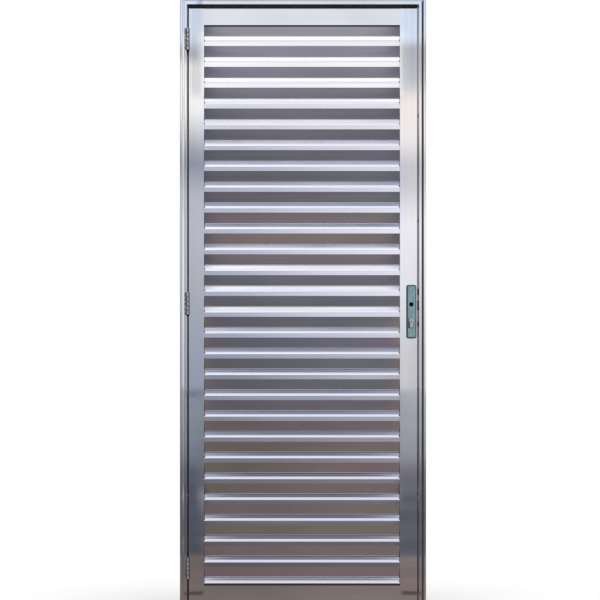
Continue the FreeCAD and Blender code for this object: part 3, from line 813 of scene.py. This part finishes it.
class DOOR_OT_slat_gaskets(bpy.types.Operator):
    """Close the slits between the rails and the cut slats with black gaskets, which stand in for
    the shade in the slits
    """

    bl_idname = "door.slat_gaskets"
    bl_label = "Slat gaskets"

    def execute(self, context):
        rubber = black_rubber(context.scene.door_finishes)
        reach = 9.0 * MM
        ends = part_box("hinge_stile")[1].x - reach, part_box("lock_stile")[0].x + reach
        channel = 9.8 * MM
        play = 0.2 * MM
        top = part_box("top_rail")[0].z + channel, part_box(SLATS[0])[1].z + play
        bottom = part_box("bottom_rail")[1].z - channel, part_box(SLATS[-1])[0].z - play
        # Black strips that stand in for the shade in the slits.
        for name, (outer, inner), front, back in (
                ("top_slat_gasket", top, -12.0 * MM, 1.0 * MM),
                ("bottom_slat_gasket", bottom, -13.0 * MM, -2.0 * MM)):
            section = self.section(outer, inner, front, back)
            loops = [[(x, y, z) for y, z in section] for x in ends]
            show(name, straight_run(*loops), rubber, "leaf")
        return {"FINISHED"}

    def section(self, outer, inner, front, back):
        """A strip with a ribbed front, its inner edge rounded, as depth and height places."""
        pitch = (inner - outer) / 6
        soft = 1.6 * MM
        ribs = []
        for i in range(5):
            ribs += [(front, outer + pitch * i), (front + 0.5 * MM, outer + pitch * (i + 0.6))]
        turn = math.copysign(soft, outer - inner)
        return [(back, outer), *ribs, (front + 0.2 * MM, inner + turn),
                (front + 0.7 * MM, inner + 0.35 * turn), (front + soft, inner),
                (back - soft, inner), (back, inner + turn)]


class DOOR_OT_groove_strips(bpy.types.Operator):
    """Fill the jambs' grooves, with a sloped metal bead by the hinges, a dark strip by the lock
    that stands in for the shade there
    """

    bl_idname = "door.groove_strips"
    bl_label = "Groove strips"

    def execute(self, context):
        finishes = context.scene.door_finishes
        near, far = GROOVE
        play = 0.2 * MM
        first, last = near + play, far - play
        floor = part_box("lock_jamb")[0].y + GROOVE_DEPTH
        bead = floor - 7.4 * MM
        metal = polished_extrusion("polished_bead", finishes.aluminium, ALONG_Z, finishes)
        self.run("hinge_jamb", 1.0, metal, [
            (first, floor), (first, bead + 0.3 * MM), (near + 0.6 * MM, bead),
            (far - 1.0 * MM, bead + 0.55 * MM), (last, bead + 1.7 * MM), (last, floor)])
        # The dark strip stands in for the shade in the lock jamb's groove.
        pile = floor - 4.5 * MM
        shoulder, corner = pile + 1.2 * MM, pile + 0.3 * MM
        self.run("lock_jamb", -1.0, groove_shade_strip(finishes), [
            (first, floor), (first, shoulder), (near + 1.2 * MM, corner), (near + 2.0 * MM, pile),
            (far - 2.0 * MM, pile), (far - 1.2 * MM, corner), (last, shoulder), (last, floor)])
        return {"FINISHED"}

    def run(self, jamb, side, material, section):
        """A strip of that section, mitred at both ends like the jamb."""
        low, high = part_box(jamb)
        outer = low.x if side > 0.0 else high.x
        starts = [(outer + side * inward, y, low.z + inward) for inward, y in section]
        ends = [(outer + side * inward, y, high.z - inward) for inward, y in section]
        show(f"{jamb}_groove_strip", straight_run(starts, ends), material, "frame")


class DOOR_OT_plate_gaskets(bpy.types.Operator):
    """Bed each lock plate on a thin dark gasket"""

    bl_idname = "door.plate_gaskets"
    bl_label = "Plate gaskets"

    def execute(self, context):
        rubber = black_rubber(context.scene.door_finishes)
        play, margin = 0.04 * MM, 1.0 * MM
        thick = 1.1 * MM
        corner = 6.0 * MM
        profile = ((play, 0.0), (margin, 0.0), (margin, 0.6 * thick),
                   (margin - 0.3 * MM, thick), (play, thick))
        for side, face, outward in (("front", 1, -1.0), ("back", 0, 1.0)):
            box = low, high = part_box(f"{side}_lock_plate")
            middle, half = (low + high) / 2, (high - low) / 2
            bm = bmesh.new()
            loops = []
            for grow, level in profile:
                y = box[face].y + outward * level
                points = rounded(half.x + grow, half.z + grow, corner + grow)
                loops.append(add_loop(bm, [(middle.x + x, y, middle.z + z) for x, z in points]))
            for first, second in zip(loops, loops[1:] + loops[:1]):
                add_skin(bm, first, second)
            show(f"{side}_plate_gasket", bm, rubber, "leaf")
        return {"FINISHED"}


class DOOR_OT_hinge_screws(bpy.types.Operator):
    """Fix each hinge leaf with three screws"""

    bl_idname = "door.hinge_screws"
    bl_label = "Hinge screws"

    def execute(self, context):
        details = context.scene.door_details
        steel = lock_steel(context.scene.door_finishes)
        spread = 26.0 * MM
        inset = 10.5 * MM
        for which in HINGES:
            leaf = f"{which}_hinge_frame_leaf"
            middle = middle_of(leaf)
            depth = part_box(leaf)[1].y - inset
            for side, body, sign in (("frame", "frame", -1.0), ("door", "leaf", 1.0)):
                bm = bmesh.new()
                face = middle.x + sign * (LEAF_GAP / 2 - HINGE_PLATE)
                for step in (-1, 0, 1):
                    add_screw(bm, (face, depth, middle.z + step * spread), (-sign, 0.0, 0.0),
                              details.hinge_screw, details.screw_rise)
                show(f"{which}_hinge_{side}_screws", bm, steel, body)
        return {"FINISHED"}


class DOOR_OT_lock_screws(bpy.types.Operator):
    """Fix the lock's forend and the strike plate with two screws each"""

    bl_idname = "door.lock_screws"
    bl_label = "Lock screws"

    def execute(self, context):
        details = context.scene.door_details
        steel = lock_steel(context.scene.door_finishes)
        inset = 8.0 * MM
        low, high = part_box("strike_plate")
        depth = (low.y + high.y) / 2
        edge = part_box("lock_stile")[1].x
        for name, body, face, outward in (("forend_screws", "leaf", edge, 1.0),
                                          ("strike_screws", "frame", low.x, -1.0)):
            bm = bmesh.new()
            for height in (low.z + inset, high.z - inset):
                add_screw(bm, (face, depth, height), (outward, 0.0, 0.0),
                          details.lock_screw, details.screw_rise)
            show(name, bm, steel, body)
        return {"FINISHED"}


class DOOR_OT_strike_keeps(bpy.types.Operator):
    """Line the gap beside the lock with three dark keeps for its bolts"""

    bl_idname = "door.strike_keeps"
    bl_label = "Strike keeps"

    def execute(self, context):
        half = 2.3 * MM
        deep = 3.0 * MM
        rim = 0.6 * MM
        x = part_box("lock_jamb")[1].x - REBATE - half
        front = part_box("lock_stile")[1].y + 1.4 * MM
        plate_z = middle_of("front_lock_plate").z
        keeps = ((68.5 * MM, 11.0 * MM), (21.0 * MM, 16.0 * MM), (-42.5 * MM, 9.0 * MM))
        bm = bmesh.new()
        for height, tall in keeps:
            turn = facing((x, front, plate_z + height), (0.0, -1.0, 0.0))
            back, face, mouth, well = (
                add_loop(bm, rectangle(turn, half - inset, tall - inset, level))
                for inset, level in ((0.0, -deep), (0.0, 0.0), (rim, 0.0), (rim, rim - deep)))
            for first, second in ((back, face), (face, mouth), (mouth, well)):
                add_skin(bm, first, second)
            bm.faces.new(well)
            bm.faces.new(back)
        show("strike_keeps", bm, burnished_steel(context.scene.door_finishes), "frame")
        return {"FINISHED"}


class DOOR_OT_key_plugs(bpy.types.Operator):
    """Face the key cylinder with a round plug at each end"""

    bl_idname = "door.key_plugs"
    bl_label = "Key plugs"

    def execute(self, context):
        radius = context.scene.door_details.plug_radius
        nickel = turned_metal("plug_nickel", context.scene.door_finishes.cylinder,
                              roughness=0.22, along=ALONG_X, grain=900.0)
        low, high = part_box("key_cylinder")
        x = (low.x + high.x) / 2
        z = high.z - (high.x - low.x) / 2
        rise = 0.6 * MM
        sunk = -0.1 * MM
        profile = ((radius, sunk), (radius, 0.7 * rise), (radius - 0.4 * MM, rise))
        for name, y, outward in (("front_key_plug", low.y, -1.0), ("back_key_plug", high.y, 1.0)):
            bm = bmesh.new()
            turn = facing((x, y, z), (0.0, outward, 0.0))
            foot, face = add_turned(bm, turn, profile)
            mouth = add_loop(bm, rectangle(turn, 1.0 * MM, 4.5 * MM, rise))
            throat = add_loop(bm, rectangle(turn, 0.8 * MM, 4.3 * MM, sunk))
            add_lid(bm, face, mouth)
            add_skin(bm, mouth, throat)
            add_lid(bm, foot, throat)
            show(name, bm, nickel, "leaf")
        return {"FINISHED"}


class DOOR_OT_followers(bpy.types.Operator):
    """Set a near-black burnished follower with a square socket behind each lever hole; its dark
    colour stands in for the shade inside the lock
    """

    bl_idname = "door.followers"
    bl_label = "Spindle followers"

    def execute(self, context):
        radius = context.scene.door_details.follower_radius
        # Near-black, standing in for the shade inside the lock behind the lever hole.
        dark = turned_metal("shade_black_follower", context.scene.door_finishes.burnished,
                            roughness=0.55, along=ALONG_X)
        plate = middle_of("front_lock_plate")
        middle = middle_of("lock_body").y
        boss = 3.0 * MM
        chamfer = 0.6 * MM
        socket = 3.9 * MM
        shell = socket + 0.05 * MM
        deep = 6.0 * MM
        profile = ((radius, 0.0), (radius, boss - chamfer), (radius - chamfer, boss))
        for name, outward in (("front_follower", -1.0), ("back_follower", 1.0)):
            bm = bmesh.new()
            turn = facing((plate.x, middle + outward * LOCK_CASE, plate.z + SPINDLE_RISE),
                          (0.0, outward, 0.0))
            foot, face = add_turned(bm, turn, profile)
            mouth, well, back, skirt = (
                add_loop(bm, rectangle(turn, half, half, level)) for half, level in (
                    (socket, boss), (socket, -deep), (shell, -deep - 0.2 * MM), (shell, 0.0)))
            add_lid(bm, face, mouth)
            add_skin(bm, mouth, well)
            add_lid(bm, well)
            add_lid(bm, back)
            add_skin(bm, back, skirt)
            add_lid(bm, foot, skirt)
            show(name, bm, dark, "leaf")
        return {"FINISHED"}


class DOOR_OT_fixing_caps(bpy.types.Operator):
    """Cover the frame's wall fixings with moulded caps in the rebate"""

    bl_idname = "door.fixing_caps"
    bl_label = "Fixing caps"

    def execute(self, context):
        radius = context.scene.door_details.cap_radius
        plastic = moulded_cap(context.scene.door_finishes)
        profile = [(radius * share, level * MM) for share, level in (
            (1.0, -0.1), (1.0, 0.45), (0.93, 0.8), (0.7, 1.0), (0.35, 1.1))]
        heights = (0.4, 0.76, 1.34, 1.7)
        depth = -4.0 * MM
        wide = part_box("lock_jamb")[1].x - REBATE
        for name, side in (("hinge_jamb_caps", -1.0), ("lock_jamb_caps", 1.0)):
            bm = bmesh.new()
            for height in heights:
                add_knob(bm, facing((side * wide, depth, height), (-side, 0.0, 0.0)), profile)
            show(name, bm, plastic, "frame")
        return {"FINISHED"}


def stage_mesh(name, points, faces, material):
    """A piece of the stage."""
    mesh = bpy.data.meshes.new(name)
    mesh.from_pydata(points, [], faces)
    mesh.materials.append(material)
    made = bpy.data.objects.new(name, mesh)
    bpy.context.scene.collection.objects.link(made)
    return made


def stage_plane(name, points, material):
    """A flat piece of the stage."""
    return stage_mesh(name, points, [tuple(range(len(points)))], material)


def only_mirrored(card):
    """Lets nothing but reflections see a piece of the stage."""
    card.visible_camera = False
    card.visible_diffuse = False
    card.visible_transmission = False
    card.visible_volume_scatter = False
    card.visible_shadow = False


def glowing(name):
    """A new material that only glows, the socket of its colour and a point's place."""
    made, shader, place = begin(name)
    tree = made.node_tree
    tree.nodes.remove(shader)
    glow = tree.nodes.new("ShaderNodeEmission")
    tree.links.new(glow.outputs[0], tree.nodes["Material Output"].inputs["Surface"])
    return made, glow.inputs["Color"], place


def colour_bands(value, whole, bands):
    """Colours along a whole length, each band a place, a colour and the share of it."""
    stops = [(place / whole, shaded(colour, share)) for place, colour, share in bands]
    return value.node("ShaderNodeValToRGB", {"stops": stops}, {0: value / whole})


def away(across, deep):
    """0 straight before the door's face, 1 off to its sides and behind it."""
    return abs(across).rise(2.0, 4.5).most(deep.rise(1.5, 7.0))


class DOOR_OT_stage(bpy.types.Operator):
    """Set up the camera, the floor, the light and what the metal mirrors"""

    bl_idname = "door.stage"
    bl_label = "Stage"

    def execute(self, context):
        settings = context.scene.door_stage
        context.scene.view_settings.view_transform = "Standard"
        self.camera(context.scene, settings)
        self.floor(settings)
        self.ground(settings)
        self.card("mirrored_canopy", shaded(settings.bright, 1.2),
                  distance=2.6, low=2.07, high=2.38)
        self.card("mirrored_gable", settings.gable, distance=3.5, low=2.45, high=2.78)
        self.surround(settings)
        self.zenith(settings)
        self.lamps(context.scene, settings)
        self.world(context.scene, settings)
        return {"FINISHED"}

    def camera(self, scene, settings):
        """A camera straight before the leaf."""
        data = bpy.data.cameras.new("camera")
        data.sensor_width = 36.0
        data.lens = data.sensor_width * settings.distance / settings.picture_width
        made = bpy.data.objects.new("camera", data)
        scene.collection.objects.link(made)
        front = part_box("hinge_stile")[0].y
        made.location = (settings.picture_x, front - settings.distance, settings.picture_z)
        made.rotation_euler = (math.pi / 2, 0.0, 0.0)
        scene.camera = made

    def floor(self, settings):
        """A pale floor that takes the shadow and turns white a little way off."""
        made, shader, place = begin("pale_floor")
        cloud = stretched_noise(place, (0.9, 0.9, 0.9), 3.0)
        paint(shader, cloud.tones(settings.floor, 0.985), 0.9)
        shader.inputs["Specular IOR Level"].default_value = 0.0
        across, deep = place.parts("XY")
        beside = (abs(across) - CAD_BOX[1][0]).most(0.0)
        off = (beside ** 2.0 + deep ** 2.0) ** 0.5
        clean = off.rise(0.05, 0.8)
        white = place.node("ShaderNodeEmission", None, {"Color": WHITE})
        lit = Field(place.tree, shader.outputs[0])
        place.node("ShaderNodeMixShader", None, {0: clean, 1: lit, 2: white}).feed(
            place.tree.nodes["Material Output"].inputs["Surface"])
        reach = 40.0
        points = rectangle(Matrix.Identity(4), reach, reach, -1.0 * MM)
        stage_plane("floor", points, made).visible_glossy = False

    def ground(self, settings):
        """The mirrored ground, with bands by depth: those the slats show and those beside them."""
        made, glow, place = glowing("mirrored_ground")
        across, deep = place.parts("XY")
        depth = abs(deep)
        # The place on the leaf that mirrors this point to the camera.
        seen_at = across / (1.0 + depth / settings.distance)
        seen_off = abs(seen_at)
        slat_ends = 0.333, 0.322
        stile_inner, stile_outer = (-0.326, -0.336), (-0.394, -0.402)
        patches = stretched_noise(place, (1.3, 1.9, 1.0), 4.0, 0.6)
        edge = depth + (patches - 0.5) * 0.3
        reach = settings.surround
        near, yard = settings.near_ground, settings.yard
        far, plot = settings.far_ground, settings.plot
        open_ground = colour_bands(edge, reach, (
            (0.0, near, 1.0), (1.3, near, 1.0), (1.42, yard, 0.95), (3.6, yard, 1.0),
            (4.7, yard, 1.15), (6.4, far, 0.85), (9.0, far, 1.0), (12.5, far, 1.1),
            (15.0, far, 1.1)))
        under_slats = colour_bands(edge, reach, (
            (0.0, near, 1.0), (0.4, near, 1.0), (0.66, near, 0.97), (0.82, plot, 0.95),
            (1.3, plot, 0.9), (1.5, plot, 1.0), (1.64, near, 0.97), (1.85, near, 1.05),
            (2.0, plot, 0.8), (2.5, plot, 0.88), (2.8, plot, 1.15), (3.2, plot, 1.5),
            (3.6, plot, 2.2), (4.2, plot, 1.0), (9.5, far, 1.0), (15.0, far, 1.0)))
        off_middle = 0.0035
        inside = abs(seen_at + off_middle).rise(*slat_ends)
        kerb = edge.rise(0.37, 0.4) * edge.rise(0.48, 0.44)
        kerb = kerb * seen_off.rise(0.41, 0.4) * seen_off.rise(0.332, 0.342)
        tone = inside.blend((kerb * 0.55).blend(open_ground, BLACK), under_slats)
        right = seen_at.rise(-0.4, 0.4)
        warm = (right * depth.rise(3.0, 6.0)).blend(WHITE, (0.93, 0.9, 0.84, 1.0))
        cool, dark = (1.0, 1.09, 1.16, 1.0), (0.64, 0.72, 0.8, 1.0)
        dim, plain = (0.8, 0.92, 0.98, 1.0), (1.12, 1.05, 0.97, 1.0)
        border = depth.rise(5.5, 5.0).blend(depth.rise(13.0, 13.4).blend(cool, dark), dim)
        border = seen_at.rise(*stile_outer).blend(border, plain)
        border = (seen_at.rise(*stile_inner) * depth.rise(1.3, 1.5)).blend(WHITE, border)
        weave = stretched_noise(place, (0.8, 11.0, 1.0), 3.0).rise(0.36, 0.64)
        tint = weave.blend((1.07, 0.96, 1.07, 1.0), (0.97, 1.04, 0.9, 1.0))
        lift = 1.0 + right * (0.16 + depth.rise(2.5, 6.5) * 0.55)
        level = (patches.rise(0.25, 0.75) * 0.3 + 0.87) * lift
        tone.tinted(warm).tinted(border).tinted(tint).scaled(level).feed(glow)
        points = circle(Matrix.Identity(4), reach, -0.5 * MM, 64)
        only_mirrored(stage_plane("mirrored_ground", points, made))

    def surround(self, settings):
        """The mirrored surround, with bands by height: left, right and over the slats."""
        made, glow, place = glowing("mirrored_surround")
        across, deep, height = place.parts()
        drift = stretched_noise(place, (0.6, 0.6, 0.25), 3.0)
        level = height + (drift - 0.5) * 0.1
        rim = settings.rim
        wall, pale, dim, far = settings.wall, settings.pale_wall, settings.dim, settings.far_ground
        sky, haze, roof = settings.sky, settings.haze, settings.roof
        bright, cream = settings.bright, settings.cream
        over_roofs = ((6.0, haze, 1.0), (9.6, haze, 1.0), (10.0, bright, 1.0))
        left = colour_bands(level, rim, (
            (0.0, far, 1.3), (0.35, far, 1.4), (1.3, wall, 0.9), (1.9, wall, 1.0), (2.3, wall, 1.0),
            (2.68, dim, 1.0), (2.86, wall, 0.78), (3.26, bright, 0.88), (3.4, bright, 1.0),
            (3.86, bright, 1.0), (3.94, roof, 1.0), (4.02, roof, 1.0), (4.14, sky, 1.15),
            (4.7, sky, 1.1), *over_roofs))
        right = colour_bands(level, rim, (
            (0.0, pale, 0.75), (0.5, pale, 0.8), (1.2, pale, 1.0), (2.0, pale, 1.05),
            (2.42, pale, 0.74), (2.66, pale, 0.7), (2.95, cream, 1.0), (3.5, cream, 1.0),
            (3.66, roof, 1.2), (3.98, roof, 1.0), (4.09, roof, 0.9), (4.15, sky, 1.12),
            (4.7, sky, 1.0), *over_roofs))
        over_slats = colour_bands(level, rim, (
            (3.7, haze, 0.6), (4.6, haze, 0.52), (5.5, haze, 0.62), (6.2, haze, 0.9),
            (7.2, haze, 0.85), (8.1, haze, 0.5), (8.6, haze, 0.85), (9.3, haze, 1.1),
            (9.86, haze, 1.5), (10.0, bright, 1.0), (13.0, bright, 1.0)))
        off_middle = 0.012
        by_slats = abs(across + off_middle).rise(1.172, 1.135)
        cool = (by_slats * height.rise(3.5, 3.1)).blend(WHITE, (0.93, 0.97, 1.09, 1.0))
        walls = across.rise(-1.35, 1.35).blend(left, right).tinted(cool)
        inside = by_slats * height.rise(3.46, 3.54) * deep.rise(0.0, -1.0)
        colour = inside.blend(walls, over_slats)
        flag = (abs(across) / settings.surround).rise(0.87, 0.93) * (1.0 - settings.flags)
        line = across.rise(1.4, 1.45) * across.rise(1.6, 1.52) * height.rise(2.2, 0.8) * 0.5
        aside = away(across, deep) * (height.rise(2.5, 3.5) * 0.25 + height.rise(6.0, 10.0) * 0.25)
        shade = (1.0 - flag) * (1.0 - line) * (1.0 - aside)
        uneven = drift * 0.3 + 0.85 + height.rise(9.9, 10.1) * 0.3
        colour.scaled(uneven * shade * settings.glow).feed(glow)
        points = self.ring(settings, -0.5 * MM) + self.ring(settings, rim)
        around = len(points) // 2
        faces = [(i, (i + 1) % around, around + (i + 1) % around, around + i)
                 for i in range(around)]
        only_mirrored(stage_mesh("mirrored_surround", points, faces, made))

    def zenith(self, settings):
        """The mirrored lid over the surround, dull to the sides and behind."""
        made, glow, place = glowing("mirrored_zenith")
        cloud = stretched_noise(place, (0.3, 0.3, 0.3), 3.0).rise(0.3, 0.7)
        clear = cloud.blend((1.0, 1.02, 1.2, 1.0), (1.12, 1.14, 1.3, 1.0))
        dull = cloud.blend((0.4, 0.42, 0.46, 1.0), (0.62, 0.64, 0.68, 1.0))
        away(*place.parts("XY")).blend(clear, dull).feed(glow)
        only_mirrored(stage_plane("mirrored_zenith", self.ring(settings, settings.rim), made))

    def ring(self, settings, height):
        """Points round the surround at a height."""
        return circle(Matrix.Identity(4), settings.surround, height, 96)

    def card(self, name, colour, distance, low, high):
        """A card that hangs before the leaf, as wide as the slats mirror there."""
        made, glow, place = glowing(name)
        stretched_noise(place, (2.0, 2.0, 5.0), 3.0).rise(0.3, 0.7).tones(colour, 0.88).feed(glow)
        camera = bpy.context.scene.camera.location
        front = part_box("hinge_stile")[0].y
        share = distance / (front - camera.y)
        left, right = (edge * (1.0 + share) - camera.x * share for edge in (
            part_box("hinge_stile")[1].x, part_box("lock_stile")[0].x))
        y = front - distance
        points = [(left, y, low), (right, y, low), (right, y, high), (left, y, high)]
        only_mirrored(stage_plane(name, points, made))

    def lamps(self, scene, settings):
        """Three soft lamps that reflections don't see."""
        aim = Vector((0.0, 0.0, 1.0))
        for name, place, size in (("key_lamp", (-2.6, -3.2, 3.6), 2.2),
                                  ("side_lamp", (3.0, -2.2, 3.0), 2.0),
                                  ("back_lamp", (1.0, 3.4, 3.6), 2.4)):
            data = bpy.data.lights.new(name, "AREA")
            data.energy = settings.lamp_power
            data.size = size
            lamp = bpy.data.objects.new(name, data)
            lamp.location = place
            lamp.visible_glossy = False
            lamp.rotation_mode = "QUATERNION"
            lamp.rotation_quaternion = (aim - Vector(place)).to_track_quat("-Z", "Y")
            scene.collection.objects.link(lamp)

    def world(self, scene, settings):
        """A world that is white to the camera and in reflections, and softer as a light."""
        made = bpy.data.worlds.new("white_studio")
        made.use_nodes = True
        backdrop = made.node_tree.nodes["Background"]
        camera = Field(made.node_tree).node("ShaderNodeLightPath", output="Is Camera Ray")
        seen = camera.most(camera.other("Is Glossy Ray")).most(camera.other("Is Transmission Ray"))
        (seen * (1.0 - settings.fill) + settings.fill).feed(backdrop.inputs["Strength"])
        backdrop.inputs["Color"].default_value = WHITE
        scene.world = made


class DOOR_PT_dressing(bpy.types.Panel):
    """Lists the door's finishes, pieces and stage"""

    bl_label = "Door"
    bl_idname = "DOOR_PT_dressing"
    bl_space_type = "VIEW_3D"
    bl_region_type = "UI"
    bl_category = "Door"

    def draw(self, context):
        for operator in OPERATORS:
            self.layout.operator(operator.bl_idname)
        for settings in (context.scene.door_finishes, context.scene.door_details,
                         context.scene.door_stage):
            column = self.layout.column()
            for name in settings.__annotations__:
                column.prop(settings, name)


OPERATORS = (
    DOOR_OT_frame_finish,
    DOOR_OT_leaf_finish,
    DOOR_OT_slat_finish,
    DOOR_OT_hinge_finish,
    DOOR_OT_hinge_tips,
    DOOR_OT_lock_finish,
    DOOR_OT_seals,
    DOOR_OT_slat_gaskets,
    DOOR_OT_groove_strips,
    DOOR_OT_plate_gaskets,
    DOOR_OT_hinge_screws,
    DOOR_OT_lock_screws,
    DOOR_OT_strike_keeps,
    DOOR_OT_key_plugs,
    DOOR_OT_followers,
    DOOR_OT_fixing_caps,
    DOOR_OT_stage,
)
CLASSES = (DoorFinishes, DoorDetails, DoorStage, *OPERATORS, DOOR_PT_dressing)


def register():
    for item in CLASSES:
        bpy.utils.register_class(item)
    bpy.types.Scene.door_finishes = PointerProperty(type=DoorFinishes)
    bpy.types.Scene.door_details = PointerProperty(type=DoorDetails)
    bpy.types.Scene.door_stage = PointerProperty(type=DoorStage)


def unregister():
    del bpy.types.Scene.door_stage
    del bpy.types.Scene.door_details
    del bpy.types.Scene.door_finishes
    for item in reversed(CLASSES):
        bpy.utils.unregister_class(item)


def main():
    register()
    bpy.ops.door.frame_finish()
    bpy.ops.door.leaf_finish()
    bpy.ops.door.slat_finish()
    bpy.ops.door.hinge_finish()
    bpy.ops.door.hinge_tips()
    bpy.ops.door.lock_finish()
    bpy.ops.door.seals()
    bpy.ops.door.slat_gaskets()
    bpy.ops.door.groove_strips()
    bpy.ops.door.plate_gaskets()
    bpy.ops.door.hinge_screws()
    bpy.ops.door.lock_screws()
    bpy.ops.door.strike_keeps()
    bpy.ops.door.key_plugs()
    bpy.ops.door.followers()
    bpy.ops.door.fixing_caps()
    bpy.ops.door.stage()
    bpy.context.view_layer.update()


if __name__ == "__main__":
    main()
